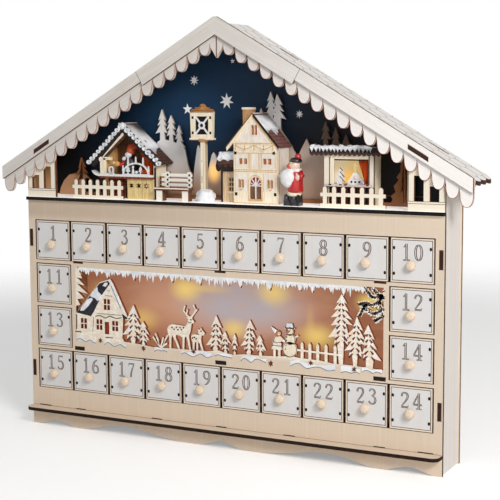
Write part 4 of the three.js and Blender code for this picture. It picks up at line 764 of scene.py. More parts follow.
# Snow on the ground strip, each patch above its own wavy line
GROUND_SNOW = [
    [(-147, 5.6), (-144, 7.2), (-140.6, 6.2), (-137.2, 4.7), (-134.4, 6.1), (-131.7, 6.6), (-129, 4.8),
     (-126.3, 4.4)],
    [(-117, 3.6), (-114.1, 6.1), (-110.1, 4.7), (-106.7, 2.9), (-100.7, 5.2), (-97.4, 3.5), (-94.8, 2.8)],
    [(-65.4, 2), (-62.4, 3.9), (-58.5, 3.4), (-54.6, 3.6), (-52.3, 2.6)],
    [(-38.4, 2), (-35.5, 3.6), (-32.5, 2.8), (-26.5, 0.9), (-19.7, 4), (-13.4, 1.2), (-8.1, 3.3)],
    [(-5.9, 3.3), (-2.6, 4.8), (1.8, 3.9), (6.2, 3.6), (11, 3.2)],
    [(19.5, 1.3), (21.3, 3.6), (24.3, 3.4), (29.1, 1.1), (32.7, 4), (36.3, 4.2), (38.7, 3.4), (42.8, 2.1)],
    [(65, 1.1), (69.3, 3.6), (73.8, 4), (79.8, 0.7), (87.2, 2.5), (93.1, 2.3), (99, 0.5), (105.4, 1.8)],
    [(110.2, 0.2), (115.1, 1.3), (119.4, 0.4), (123, 1.7), (127, 0.7)],
    [(128.7, 2.1), (131.6, 3.9), (135.1, 3.6), (138, 2.1), (141.5, 3.5), (145.6, 2.5)],
]
for k, line in enumerate(GROUND_SNOW):
    wave = curved(line, False, 4)
    bank = [(x, max(z, 3) + 2.2 + 0.9 * math.sin(1.1 * i + k)) for i, (x, z) in enumerate(line)]
    painted(snow, wave + curved(bank[::-1], False, 3))
    drawn(line_grey, 0.55, line)

# Dark brown stars between the drifts
GROUND_STARS = [(-121.4, 7.2), (-76.5, 3.7), (-26.1, 5.3), (47.1, 1.2), (83.7, 5.4), (121.9, 3.6)]


def star(x, z, tip, notch):
    """A six-pointed star with one point up."""
    points = []
    for k in range(12):
        reach = notch if k % 2 else tip
        turn = math.pi * (0.5 + k / 6)
        points.append((x + reach * math.cos(turn), z + reach * math.sin(turn)))
    return points


for x, z in GROUND_STARS:
    painted(fret_gap, star(x, z, 2.5, 1.0), out=3)

# Icicles under a strip of snow along the top of the window
chance = random.Random(7)
icicles = [(-144, 71.4)]
x = -144
while x < 128:
    wide = 1.9 + 1.7 * chance.random()
    deep = 1.6 + 3.6 * chance.random() ** 1.5 + (3.4 if chance.random() > 0.86 else 0)
    icicles += [(x + wide / 2, 70.2 - deep), (x + wide, 69.9 + 0.6 * chance.random())]
    x += wide
crest = []
for i, x in enumerate(range(130, -146, -4)):
    crest.append((x, 71.4 + 0.5 * math.sin(0.31 * i) * math.sin(0.11 * i)))
painted(snow, icicles + crest, out=3)

# Cottage: dark roof with patches of snow, panes, a door, and engraved mouldings
painted(slate, [
    (-146.6, 30.6), (-131.1, 28.4), (-127.6, 33.3), (-119.2, 48.2), (-109.9, 59.6), (-112.6, 61.4),
    (-121.4, 58.6), (-133.7, 44.8), (-145.4, 31.6),
])
painted(slate, [(-98.6, 33.2), (-92.4, 29.6), (-93.8, 28.2), (-97.4, 29.4)])
painted(snow, [
    (-142.4, 32.6), (-141.5, 35.2), (-138.6, 39), (-134.4, 43.4), (-132.1, 44.5), (-129.4, 45.2),
    (-128.7, 43.5), (-133.6, 37.4), (-135.7, 35.6), (-138.5, 33),
], [
    (-131.6, 46.6), (-129.4, 49.6), (-123.7, 55.4), (-123.1, 51.4), (-119.2, 48.2), (-120.6, 44.1),
    (-124, 42.7), (-126, 44.9), (-129.6, 45.8),
], [(-118, 56.9), (-115.6, 59.6), (-112.9, 60.1), (-112.9, 57.8), (-115, 55.9)], [
    (-112.2, 61.8), (-109.9, 62.6), (-107.8, 59.6), (-105.6, 55.4), (-101.6, 46.8), (-99, 41.8),
    (-101.4, 41.4), (-105.8, 47.8), (-108.4, 53.6), (-109.9, 58.6),
], [(-99.6, 40.4), (-98.2, 40), (-95.6, 34.6), (-97, 33.6), (-100.4, 39)], out=2)
drawn(line_grey, 0.45, [(-123.6, 31.5), (-98.8, 31.4)], [(-128.1, 28), (-129.4, 14.6)])
drawn(engraved, 0.7, [
    (-126.4, 28.7), (-122.3, 29.6), (-119.6, 29.2), (-115.6, 27.8), (-111.5, 29.8), (-107.5, 29),
    (-103.5, 28.4), (-98.9, 29.6),
])
drawn(line_grey, 0.4, [(-113.7, 52.6), (-110.3, 52.5)], [(-115.6, 48.2), (-108.2, 48)])
drawn(line_grey, 0.6, [(-109.3, 57.6), (-99.4, 37.4)])
drawn(engraved, 0.7, [(-116, 10.4), (-108.3, 10.6)])
drawn(engraved, 1.0, [(-146.4, 29), (-146.7, 15.5)], [(-148, 13.4), (-141.8, 13.2)])
# The cottage panes glow a little with painted light
for left, low, right, high in (
    (-117.8, 34.6, -110.2, 45.6), (-142.6, 16, -135, 26.6), (-126, 16.2, -118.6, 26.8),
    (-109.4, 16.2, -102, 26.4), (-117, 13, -111.6, 24.8),
):
    board = in_window(rectangle(left, low, right, high))
    winter.plate([board], FACE_Y + FRONT_PLY + 0.05, 0.8, red_with_glow)

# Stag and fawn with their spots, eyes and ears
SPOTS = [(-47.4, 24.8), (-43, 25.3), (-39.4, 25.3), (-36, 25.5), (-45.3, 23.3), (-41.6, 23.3), (-38.1, 23.6)]
SPOTS += [(-28.6, 33), (-18.8, 23.8), (-27.2, 17.2), (-25.4, 17.8), (-23.6, 16.8)]
painted(engraved, *[disc(x, z, 0.75, 8) for x, z in SPOTS], out=2)
drawn(engraved, 0.5, [(-31.6, 31), (-29.6, 30.2), (-28.2, 31)], [(-22.4, 21.4), (-20.6, 20.4)])

# Child in a tailed cap beside the snowman, with its hat, coal and lines
painted(rust, curved([
    (52.2, 29.4), (54, 30.2), (56.2, 28.8), (56.3, 26.4), (54.4, 24.9), (51.4, 25.2), (51, 27.6),
], True, 4))
painted(cream, disc(55, 27.6, 1.3, 12), out=2)
painted(snow, curved([(47.8, 33), (50.4, 31.6), (52.4, 29.4), (51.2, 27.6), (49.4, 30)], True, 4), out=2)
painted(engraved, disc(55.2, 27.9, 0.35, 8), disc(56, 26.6, 0.3, 8), out=3)
drawn(engraved, 0.45, [(49.4, 21.6), (51.7, 19.8), (55.2, 20.4), (58.7, 20.2)], [(48.4, 17.4), (57, 17.2)])
drawn(engraved, 0.4, [(51.4, 25), (50, 21.6), (48.6, 16.4)], [(53, 13.8), (53, 9.6)])
for x, z, radius in ((64.8, 15.2, 6.2), (65.2, 23.8, 4.2), (64.8, 30.4, 3.1)):
    painted(cream, disc(x, z, radius, 24))
    drawn(engraved, 0.35, disc(x, z, radius, 20) + disc(x, z, radius, 20)[:1])
painted(snow, [(61.4, 34), (67.8, 34), (67, 36.9), (62.4, 36.9)], out=2)
painted(slate, [(59.6, 33.8), (61.2, 32.5), (68, 32.5), (69.4, 33.8), (66.4, 33.3), (62.6, 33.3)], out=3)
painted(rust, curved([(61.6, 30.8), (63.2, 31.2), (65, 30.4), (63.8, 28.9), (62, 29.3)], True, 3), out=2)
painted(slate, disc(62.6, 31.5, 0.45, 8), disc(65.2, 31.4, 0.45, 8), out=3)
COALS = [(62, 25.4), (61.8, 22.6), (61.4, 18.4), (60.8, 15.2)]
painted(slate, *[disc(x, z, 0.5, 8) for x, z in COALS], out=3)
drawn(engraved, 0.45, [(61.4, 27.6), (64.8, 26.9), (68.2, 27.8)], [(61.1, 20.2), (64.6, 19.3), (69.2, 20.4)])
drawn(engraved, 0.5, [(58.6, 11.4), (61.1, 9.5), (65.2, 8.9), (70.3, 11.3)])

# Dark cuts and small drifts on the firs, worked out tree by tree, and cuts in the bush
# and the pine branch
FIRS = [
    (-86.4, 41.9, -87, 12, 9.5), (-76.8, 27.9, -76.6, 9, 5.4), (-4.1, 38.7, -4.8, 11, 7),
    (4.2, 25.5, 4.8, 9, 4.8), (13.4, 24.3, 13.3, 9, 2.8), (28, 37.2, 26.7, 11, 6.6),
    (36.9, 25.1, 37.7, 10, 4.4), (110.9, 64.5, 110.4, 24, 8.6), (124, 47.2, 122.7, 15, 7.8),
    (133.7, 41.2, 134.9, 14, 7.6),
]
chance = random.Random(17)
for peak_x, peak_z, foot_x, foot_z, spread in FIRS:
    rows = max(3, round((peak_z - foot_z) / 4.6))
    for row in range(2, rows + 1):
        share = (row - 0.35) / rows
        z = peak_z + share * (foot_z - peak_z)
        middle = peak_x + share * (foot_x - peak_x)
        for side in (-1, 1):
            start = 0.1 + 0.14 * chance.random()
            end = min(start + 0.34 + 0.2 * chance.random(), 0.74)
            out = side * spread * (0.25 + 0.75 * share)
            fall = 0.6 * abs(out) * (end - start)
            cut_foot = (middle + out * end, z - fall - 1.2, 0.75)
            drawn(deep_cut, 0.4, [(middle + out * start, z, 0.15), cut_foot])
            drift = [(0.3, z + 1.3), (0.72, z - fall - 0.1), (0.66, z + 0.6)]
            painted(snow, [(middle + out * share_out, height) for share_out, height in drift])
    cap_fall = 0.2 * (peak_z - foot_z)
    cap_foot = peak_z - cap_fall
    cap_half = 0.16 * spread
    painted(snow, [(peak_x, peak_z - 0.8), (peak_x - cap_half, cap_foot), (peak_x + cap_half, cap_foot)])
TWIGS = [
    [(-64, 13), (-61.4, 9)], [(-60.8, 12), (-59.6, 8)], [(-55.4, 12.6), (-57.6, 8)],
    [(137, 71), (140.6, 66.4)], [(140, 72), (143, 68.6)], [(142.6, 64), (145.4, 58.6)],
    [(140, 56), (143.6, 52.8)], [(134, 57.2), (138.4, 55)], [(128, 56.4), (132.4, 57.2)],
]
drawn(deep_cut, 0.7, *TWIGS)

# Needles and snow on the pine branch in the upper corner
BRANCHES = [
    [(149, 72), (143.5, 60), (147, 50), (150, 44)], [(144, 61), (138, 57.5), (131, 58.5), (126, 57)],
    [(146, 66), (139, 63.5), (134, 67), (130, 73)], [(149, 62), (141, 67.5), (137, 73)],
    [(150, 57), (144, 53), (138, 50.5), (129, 55)], [(150, 51), (144, 47.5), (139.5, 45)],
    [(133, 58), (129.5, 53.5), (126.5, 48)], [(150, 67), (145, 63)],
]
BRANCH_LIMIT = (146.4, 71.5)
for branch in BRANCHES:
    line = curved(branch, False, 4)
    drift = [(x, z, 0.8 + 0.5 * chance.random()) for x, z in line[1:] if x < 145 and z < 70]
    if len(drift) > 2:
        drawn(cream, 1.6, drift, out=1)
    for (x0, z0), (x1, z1) in zip(line, line[1:]):
        along = math.atan2(z1 - z0, x1 - x0)
        for side, finish in ((1, snow), (-1, cream), (0.45, fret_gap), (-0.5, deep_cut)):
            turn = along + side * (0.8 + 0.3 * chance.random())
            reach = 1.8 + 1.4 * chance.random()
            wide = 0.55 if side in (1, -1) else 0.25
            tip = (x0 + reach * math.cos(turn), z0 + reach * math.sin(turn), 0.18)
            if tip[0] < BRANCH_LIMIT[0] and tip[1] < BRANCH_LIMIT[1]:
                drawn(finish, 0.5, [(x0, z0, wide), tip])
winter.done("case", "natural_ply")


# The sheet behind the scene is translucent and painted with a dusk sky.
# Lamps behind it shine through as soft yellow rounds, which are painted light.
dusk = Finish("dusk_sheet", roughness=0.5)
dusk_place = dusk.place()
middle_share = dusk.blot(dusk_place, (8, 120), (64, 26), 0.3, 1.25)
haze_share = dusk.blot(dusk_place, (-10, 122), (125, 46), 0.3, 1.1)
cloudy = dusk.speckle(dusk_place, (34, 34, 12), 2.0)
dusk_glow_colour = dusk.mix(haze_share, paint(152, 98, 72), paint(190, 143, 117))
dusk_glow_colour = dusk.mix(0.9 * middle_share, dusk_glow_colour, paint(170, 163, 168))
dusk_glow_colour = dusk.mix(0.22 * cloudy.between(0.4, 0.7), dusk_glow_colour, paint(196, 150, 112))
DUSK_LAMPS = [
    (-47, 131, 21, 15, 0.9), (-28, 133, 34, 6, 0.4), (39, 134, 22, 16, 0.8), (-92, 101, 24, 16, 0.5),
    (1, 99, 18, 13, 0.7), (80, 99, 24, 15, 0.85), (73, 110, 6, 22, 0.2), (126, 131, 17, 12, 1.0),
    (-137, 124, 16, 16, 0.2),
]
for x, z, wide, high, strength in DUSK_LAMPS:
    near_lamp = dusk.blot(dusk_place, (x, z), (wide, high), 0.0, 1.0)
    dusk_glow_colour = dusk.mix(near_lamp * strength, dusk_glow_colour, paint(236, 204, 116))
# The whole sheet shows its colour as a glow: painted light for the lamps behind it, which also lifts it out
# of the shade of the panel; its own colour is kept dark
dusk.set("Base Color", dusk.mix(0.7, dusk_glow_colour, (0, 0, 0)))
dusk.shine(dusk_glow_colour, 0.85)
coat(dusk, "scene_backdrop")


# The barge boards and the ridge cap are thin boards under a warm white wash. Below them hangs
# a trim of round tongues, with a burnt line round each tongue and pale edges.
STAGE_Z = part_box("stage_floor")[1].z / MM
BOARD_HEIGHT = 11.4
CAP_FLAT = 1.5
cap_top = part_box("ridge_cap")[1].z / MM
barge_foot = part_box("barge_board_right")[0].z / MM
ROOF_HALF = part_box("barge_board_right")[1].x / MM
ROOF_SLOPE = (cap_top - barge_foot - BOARD_HEIGHT) / (ROOF_HALF - CAP_FLAT)
RIDGE_Z = cap_top + CAP_FLAT * ROOF_SLOPE
PITCH_LENGTH = math.hypot(1, ROOF_SLOPE)


def board_wash(name, edge_shade):
    """Washed board whose grain runs down the slope of the roof."""
    made = Finish(name)
    place = made.place()
    drop = place[2] + ROOF_SLOPE * abs(place[0])
    fibre = made.speckle([place[0], place[1], drop], (40, 1.4, 1.4), 4.0)
    cloud = made.speckle(place, (16, 16, 16), 2.0, 3.0)
    washed = made.mix(fibre.between(0.25, 0.65), paint(210, 203, 196), paint(222, 216, 210))
    washed = made.mix(0.4 * cloud.between(0.5, 0.8), washed, paint(212, 198, 178))
    # Painted highlight: the wash turns lighter towards the right, where the light falls
    washed = made.mix(0.8 * place[0].between(0, 170), washed, paint(252, 247, 243))
    edge = 1 - abs(made.facing()[1]).between(0.55, 0.75)
    made.set("Base Color", made.mix(edge, washed, edge_shade))
    made.set("Roughness", 0.65 + 0.15 * fibre)
    made.raise_by(0.04 * fibre)
    return made


coat(board_wash("board_wash", paint(104, 70, 50)), "barge_board_left", "barge_board_right", "ridge_cap")

TONGUES = 19
TONGUE_DROP = 26
SLOT_DROP = 16.2
CENTRE_DROP = 34.4
TONGUE_LINE = 0.4
TRIM_PLY = 2.9
TONGUE_PITCH = ROOF_HALF / (TONGUES + 0.5)
trim_wash = board_wash("trim_wash", paint(224, 203, 188))
trim_line = wood("trim_line", paint(104, 52, 38), paint(150, 84, 62), (2, 2, 2))


def tongues(side, inset):
    """The outline of one side's trim, drawn in by a set amount."""
    edge = 0.2 + inset
    half = TONGUE_PITCH / 2
    points = [(edge, RIDGE_Z - ROOF_SLOPE * edge - 1)]
    points.append((ROOF_HALF - inset, RIDGE_Z - ROOF_SLOPE * ROOF_HALF - 1))
    for i in range(TONGUES, 0, -1):
        x = TONGUE_PITCH * i
        slot_z = RIDGE_Z - ROOF_SLOPE * x - SLOT_DROP
        deep = TONGUE_DROP - SLOT_DROP
        for j in range(15):
            turn = math.pi * j / 14
            bulge = math.copysign(abs(math.cos(turn)) ** 0.85, math.cos(turn))
            fall = math.sin(turn) ** 0.85
            points.append((x + (half - 0.25 - inset) * bulge, slot_z + inset - deep * fall))
    points.append((half - 0.1, RIDGE_Z - TONGUE_DROP + inset))
    points.append((edge, RIDGE_Z - CENTRE_DROP + inset * 2))
    return [(side * x, z) for x, z in points]


for side, part in ((-1, "left"), (1, "right")):
    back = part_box(f"scallop_trim_{part}")[1].y / MM
    trim = Work(f"tongue_trim_{part}")
    trim.plate([tongues(side, 0)], back - TRIM_PLY, TRIM_PLY, trim_wash)
    trim.plate([tongues(side, 0)], back - TRIM_PLY - LAYER, LAYER, trim_line)
    trim.plate([tongues(side, TONGUE_LINE)], back - TRIM_PLY - 2 * LAYER, LAYER, trim_wash)
    trim.done("case", "whitewashed_ply", f"scallop_trim_{part}")


# The roof panels are plywood under a thick white wash, engraved with rows of round shingles.
# Their underside is left bare.
SHINGLE_DEEP = 13.0
SHINGLE_WIDE = 14.0

shingle_roof = Finish("shingle_roof")
roof_place = shingle_roof.place()
roof_facing = shingle_roof.facing()
down_slope = abs(roof_place[0]) * PITCH_LENGTH
shingle_row = (down_slope / SHINGLE_DEEP).floor()
in_row = down_slope - shingle_row * SHINGLE_DEEP
staggered = roof_place[1] + (shingle_row % 2.0) * (SHINGLE_WIDE / 2)
across = staggered % SHINGLE_WIDE - SHINGLE_WIDE / 2
rounded = (in_row - (SHINGLE_DEEP - SHINGLE_WIDE / 2)).most(0.0)
from_edge = abs((rounded * rounded + across * across).root() - SHINGLE_WIDE / 2 + 0.5)
shingle_line = 1 - from_edge.between(0.25, 0.7)
roof_grain = shingle_roof.speckle(roof_place, (30, 1.6, 30), 4.0)
worn = shingle_roof.speckle(roof_place, (26, 26, 26), 3.0, 2.0)
roof_wash = shingle_roof.mix(roof_grain.between(0.3, 0.7), paint(236, 232, 228), paint(246, 244, 241))
roof_wash = shingle_roof.mix(0.4 * worn.between(0.5, 0.8), roof_wash, paint(228, 218, 204))
roof_top = shingle_roof.mix(0.6 * shingle_line, roof_wash, paint(186, 160, 140))
roof_under = shingle_roof.mix(roof_grain, paint(186, 150, 108), paint(214, 182, 138))
roof_skin = shingle_roof.mix(roof_facing[2] > 0.0, roof_under, roof_top)
roof_flat = abs(roof_facing[2]).between(0.5, 0.7)
shingle_roof.set("Base Color", shingle_roof.mix(roof_flat, paint(62, 36, 26), roof_skin))
shingle_roof.set("Roughness", 0.6 + 0.2 * roof_grain)
shingle_roof.raise_by(0.05 * roof_grain - 0.25 * shingle_line)
coat(shingle_roof, "roof_panel_left", "roof_panel_right")


# Window frames close the low ends of the stage, in cream plywood with engraved lines.
# The picket fences that stand beside them are cut from the same cream sheet.
cream_ply = ply("cream_ply", paint(246, 235, 216), paint(112, 70, 46))
coat(cream_ply, "window_frame_left", "window_frame_right")
coat(cream_ply, "picket_fence_left", "picket_fence_right")
FRAME_WIDE = 30.3
FRAME_LINES = (0.4, 29.6)
FRAME_LINE_HALF = 0.18
FRAME_FOOT = 7.6
FRAME_DROP = 11.5
SILL_LINES = (5.6, 7.3)
SILL_LINE = 0.35
for side, part in ((-1, "left"), (1, "right")):
    inner = max(abs(corner.x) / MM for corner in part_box(f"window_frame_{part}")) - FRAME_WIDE
    lines = Work(f"frame_lines_{part}")
    for across_frame in FRAME_LINES:
        x = inner + across_frame
        high = RIDGE_Z - ROOF_SLOPE * x - FRAME_DROP
        ends = side * x - FRAME_LINE_HALF, side * x + FRAME_LINE_HALF
        line = rectangle(ends[0], STAGE_Z + FRAME_FOOT, ends[1], high)
        lines.plate([line], FACE_Y - LAYER, LAYER, engraved)
    ends = sorted((side * inner, side * (inner + FRAME_WIDE)))
    for rise in SILL_LINES:
        line = rectangle(ends[0], STAGE_Z + rise, ends[1], STAGE_Z + rise + SILL_LINE)
        lines.plate([line], FACE_Y - LAYER, LAYER, engraved)
    lines.done("case", "pale_figure_ply")


# The night sky is painted on the board behind the stage, dark blue and darker to the sides.
# Its stars are cut from thin white card and glued on.
CARD = 0.6
night_sky = Finish("night_sky", roughness=0.55)
sky_place = night_sky.place()
sky_share = 1 - night_sky.blot(sky_place, (-62, 305), (135, 84), 0.15, 1.25)
brush = night_sky.speckle(sky_place, (30, 30, 6), 4.0)
sky_blue = night_sky.mix(sky_share + 0.2 * (brush - 0.5), paint(22, 54, 84), paint(9, 12, 17))
card_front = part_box("sky_backdrop")[0].y / MM
on_card = sky_place[1] < card_front + CARD / 2
night_sky.set("Base Color", night_sky.mix(on_card, sky_blue, paint(252, 252, 254)))
night_sky.raise_by(0.05 * brush)
coat(night_sky, "sky_backdrop")


# Figures on the stage are glued up from 2 mm plywood and stand in front of two rows of firs.
# The pale firs and hills are washed grey with painted shade, and a lamp behind them glows on
# # them as painted light. The front row is stained.
pale_ply = ply(
    "pale_ply", paint(238, 232, 226), paint(186, 158, 136), wash=paint(232, 230, 229),
    ground=((STAGE_Z + 2, STAGE_Z + 44), paint(172, 134, 108)),
)
hill_place = pale_ply.place()
# Painted shade: the grey darkens towards the right and on the high firs there, but not on the tall peaks
# further left
right_shade_share = hill_place[0].between(6, 30)
high_firs_shade = (hill_place[0] - 74).between(0, 4) * (hill_place[2] - STAGE_Z - 46).between(0, 3)
hill_face_shaded = pale_ply.mix(0.75 * right_shade_share, pale_ply.bare, paint(178, 152, 134))
unshaded_peaks = (hill_place[2] - STAGE_Z - 60).between(0, 6) * (hill_place[0] < 60)
hill_face_shaded = pale_ply.mix(unshaded_peaks, hill_face_shaded, pale_ply.bare)
hill_face_shaded = pale_ply.mix(high_firs_shade, hill_face_shaded, paint(112, 92, 84))
pale_ply.set("Base Color", pale_ply.mix(pale_ply.edge, hill_face_shaded, pale_ply.cut))
hill_glow = pale_ply.blot(hill_place, (-24, STAGE_Z + 24), (9, 13), 0.1, 1.0)
pale_ply.shine(pale_ply.mix(hill_glow, (0.0, 0.0, 0.0), paint(255, 190, 60)), 0.9)
coat(pale_ply, "firs_and_hills")
brown_ply = ply("brown_ply", paint(148, 98, 64), paint(92, 52, 34))
brown_place = brown_ply.place()
end_post = (brown_place[0] - 153.8).between(0, 0.2) * (brown_place[2] - STAGE_Z).between(3, 3.2)
far_hill = (-152 - brown_place[0]).between(0, 6) * (1 - (brown_place[2] - STAGE_Z).between(17, 20))
brown_face = brown_ply.mix(end_post, brown_ply.bare, paint(190, 146, 96))
brown_face = brown_ply.mix(far_hill, brown_face, paint(184, 142, 108))
brown_ply.set("Base Color", brown_ply.mix(brown_ply.edge, brown_face, brown_ply.cut))
coat(brown_ply, "brown_firs")

# The brown firs at the two ends have a second sheet set square to the first
fir_ribs = Work("fir_ribs", (0, FACE_Y, STAGE_Z))
hill_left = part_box("brown_firs")[0].x / MM
fir_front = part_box("brown_firs")[0].y / MM - FACE_Y
LEFT_RIB_IN = 24.8
RIGHT_RIB_X = 150.4
RIB_PLY = 2
LEFT_RIB = [(0, 34), (-3.6, 25), (-1.6, 26), (-6, 19.4), (-2.6, 20.6), (-8, 14), (-1.6, 15)]
LEFT_RIB += [(-1.6, 3), (0, 3)]
RIGHT_RIB = [(0, 38), (-2.6, 31), (-1, 32), (-4.2, 25), (-1.6, 26.4), (-5.4, 18.6), (-2, 20.2)]
RIGHT_RIB += [(-6.4, 12), (-1.4, 13.4), (-1.4, 3), (0, 3)]
for x, rib in ((hill_left + LEFT_RIB_IN, LEFT_RIB), (RIGHT_RIB_X, RIGHT_RIB)):
    sideways = Matrix(((0, 0, 1, x - RIB_PLY / 2), (1, 0, 0, fir_front), (0, 1, 0, 0), (0, 0, 0, 1)))
    fir_ribs.plate([rib], 0, RIB_PLY, brown_ply, sideways)
fir_ribs.done("case", "brown_stained_ply")


# The left stall is an open booth under a steep plank roof with dripping snow.
# A lumpy garland of snow lies along its dark fascia, a keeper leans over the counter beside
# # an arch of candles, and two stars are cut through the front board; a third is painted shade.
STAGE = (0, FACE_Y, STAGE_Z)


def enamel(name, shade, rough=0.3):
    """Brushed enamel on a turned figure."""
    made = Finish(name, roughness=rough, Specular_IOR_Level=0.5, Coat_Roughness=0.2, Coat_Weight=0.3)
    brushed = made.speckle(made.place(), (2.5, 2.5, 2.5), 3.0)
    made.set("Base Color", made.mix(brushed, tuple(0.75 * part for part in shade), shade))
    made.raise_by(0.04 * brushed)
    return made


# Dark paint for fascias, seams and edges; the same dark is used as painted shade in strips and sheets set in
# gaps and behind boards and cut-outs
dark_paint_and_shade = wood("dark_edge_and_shade", paint(22, 18, 20), paint(46, 38, 38))
planks = wood("roof_planks", paint(58, 38, 34), paint(96, 66, 56), (14, 1.2, 1.2))
walnut = wood("walnut_wall", paint(92, 60, 40), paint(138, 98, 66))
honey = wood("honey_wood", paint(206, 150, 84), paint(232, 182, 112))
cloth = wood("orange_cloth", paint(178, 52, 10), paint(214, 84, 22), (1, 1, 8))
red = enamel("red_enamel", paint(190, 20, 24))
black = enamel("black_enamel", paint(22, 24, 28))
white = enamel("white_enamel", paint(244, 244, 244), 0.5)
skin = enamel("skin_enamel", paint(246, 214, 190), 0.45)
rosy = enamel("rosy_enamel", paint(214, 108, 84), 0.45)


def on_slope(ridge, foot, front, lift=0.0):
    """Lays a plate on a roof slope: back from the front, down the slope, and out from it."""
    down = Vector((foot[0] - ridge[0], 0, foot[1] - ridge[1])).normalized()
    back = Vector((0, 1, 0))
    out = back.cross(down) if down.x < 0 else down.cross(back)
    start = Vector((ridge[0], front, ridge[1])) + out * lift
    columns = [(*way, 0) for way in (back, down, out)] + [(*start, 1)]
    return Matrix(columns).transposed()


def drips(length, high, reach, count, seed):
    """The lower edge of snow on a roof, with icicles of uneven length."""
    chance = random.Random(seed)
    pitch = length / count
    points = [(0, 0), (0, high)]
    for i in range(count):
        tip = high + reach * (0.35 + 0.65 * chance.random())
        points += [(pitch * (i + 0.3), tip), (pitch * (i + 0.66), high + 0.4 * reach * chance.random())]
    return points + [(length, high), (length, 0)]


def waves(left, right, high, reach, count):
    """A scalloped edge from left to right."""
    shares = [i / (count * 6) for i in range(count * 6 + 1)]
    return [(left + s * (right - left), high - reach * abs(math.sin(math.pi * s * count))) for s in shares]


stall_low, stall_high = (corner / MM - Vector(STAGE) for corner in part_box("market_stall_left"))
RIDGE = (-101, stall_high.z + 0.6)
EAVE = 32
STALL_FRONT = 9
POST_X = -125.2
WALL_X = -69
COUNTER = 21.4
eaves = [(stall_low.x, EAVE), (stall_high.x + 1.5, EAVE)]


def stall_roof(x):
    foot = eaves[0] if x < RIDGE[0] else eaves[1]
    return RIDGE[1] - (RIDGE[1] - EAVE) * (x - RIDGE[0]) / (foot[0] - RIDGE[0])


ROOF_PLY = 1.6
PLANK_ROWS = 14
stall = Work("stall_left", STAGE)
roof_deep = stall_high.y - STALL_FRONT + 1.6
for foot, seed in zip(eaves, (3, 8)):
    run = math.hypot(foot[0] - RIDGE[0], RIDGE[1] - EAVE)
    lie = on_slope(RIDGE, foot, STALL_FRONT, -2.6)
    stall.plate([rectangle(0, 0, roof_deep, run - 0.3)], 0, ROOF_PLY, planks, lie)
    for k in range(1, PLANK_ROWS):
        at = run * k / PLANK_ROWS
        stall.plate([rectangle(0, at - 0.15, roof_deep, at + 0.15)], ROOF_PLY, 0.08, dark_paint_and_shade, lie)
    stall.plate([drips(roof_deep, 0.56 * run, 0.2 * run, 9, seed)], 1.65, 0.7, snow, lie, ease=0.15)
    stall.plate([rectangle(9, 0.44 * run, 10.6, 0.49 * run)], 2.3, 0.1, dark_paint_and_shade, lie)

# Fascia round the gable, dark, with a looped garland of snow along its upper edge
fascia = [eaves[0], RIDGE, eaves[1], (eaves[1][0] - 6.2, EAVE - 2.6), (RIDGE[0], RIDGE[1] - 8.2)]
fascia.append((eaves[0][0] + 6.4, EAVE - 4.6))
stall.plate([fascia], STALL_FRONT, 1.7, dark_paint_and_shade)
chance = random.Random(11)
for foot in eaves:
    for i in range(11):
        share = (i + 0.5) / 11
        x = RIDGE[0] + share * (foot[0] - RIDGE[0])
        z = RIDGE[1] + share * (EAVE - RIDGE[1]) - 1.9
        wide = 1.7 + 0.5 * chance.random()
        outer = [(x + 1.25 * (u - x), v) for u, v in disc(x, z, wide, 12)]
        hole = disc(x + 0.3, z - 0.1, 0.4 * wide, 8)
        stall.plate([outer, hole] if i % 3 else [outer], STALL_FRONT - 0.9, 0.9, snow, ease=0.15)
        knot = (x + 1.5, STALL_FRONT - 0.3, z + 0.9 - 0.6 * chance.random())
        stall.ball(knot, 0.8 + 0.5 * chance.random(), snow, 0.4, (1.2, 0.4, 1))
stall.ball((RIDGE[0], STALL_FRONT - 0.3, RIDGE[1] - 2.6), 2.8, snow, 0.5, (1.3, 0.4, 1))

# Walls, post, and the cream scallops under the left slope
stall_back = stall_high.y
for x, finish in ((-121, honey), (WALL_X - 2, cream)):
    high = min(stall_roof(x), stall_roof(x + 2)) - 3.4
    stall.block((x, STALL_FRONT + 2, 0), (x + 2, stall_back - 2, high), finish)
inner_gable = [(-121, 0), (WALL_X, 0), (WALL_X, stall_roof(WALL_X) - 3.6), (RIDGE[0], RIDGE[1] - 4)]
inner_gable.append((-121, stall_roof(-121) - 3.6))
stall.plate([inner_gable], stall_back - 2, 2, walnut)
stall.block((POST_X, STALL_FRONT + 0.4, 20), (POST_X + 6, STALL_FRONT + 2.4, 35.6), cream)
stall.block((POST_X - 0.05, STALL_FRONT + 2, 0), (POST_X + 1.2, STALL_FRONT + 3, 20), dark_paint_and_shade, 0)
stall.plate([disc(POST_X + 1.4, 34.4, 2.2, 14)], STALL_FRONT - 0.2, 1.4, cream)
stall.plate([rectangle(POST_X + 1.4, 33.8, POST_X + 12.4, 36.4)], STALL_FRONT + 0.4, 1.4, cream)
scallop_strip = []
for i in range(31):
    share = i / 30
    bulge = 0.8 * abs(math.sin(math.pi * share * 7))
    scallop_strip.append((-126.4 + 26.6 * share - 0.4 * bulge, 35.2 + 22.8 * share + bulge))
stall.plate([scallop_strip + [(-100.4, 55.6), (-123, 35.2)]], STALL_FRONT + 0.4, 1.4, cream)
stall.plate([[(-122.6, 35.4), (-118, 36.8), (-97.6, 55.6), (-99.6, 57.6)]], STALL_FRONT + 0.9, 1.6, planks)

# Front board with three stars, and dark sheets behind and beside it as painted shade
BOARD_TOP = 18
STAR_HEIGHT = 11.7
STAR_TIP = 3.1
STAR_NOTCH = 1.7
board = [rectangle(-97.6, 0, WALL_X, BOARD_TOP)]
board += [star(x, STAR_HEIGHT, STAR_TIP, STAR_NOTCH) for x in (-93.4, -85.9)]
straw = wood("straw_board", paint(204, 176, 112), paint(228, 206, 154))
stall.plate(board, STALL_FRONT + 1, 2, straw)
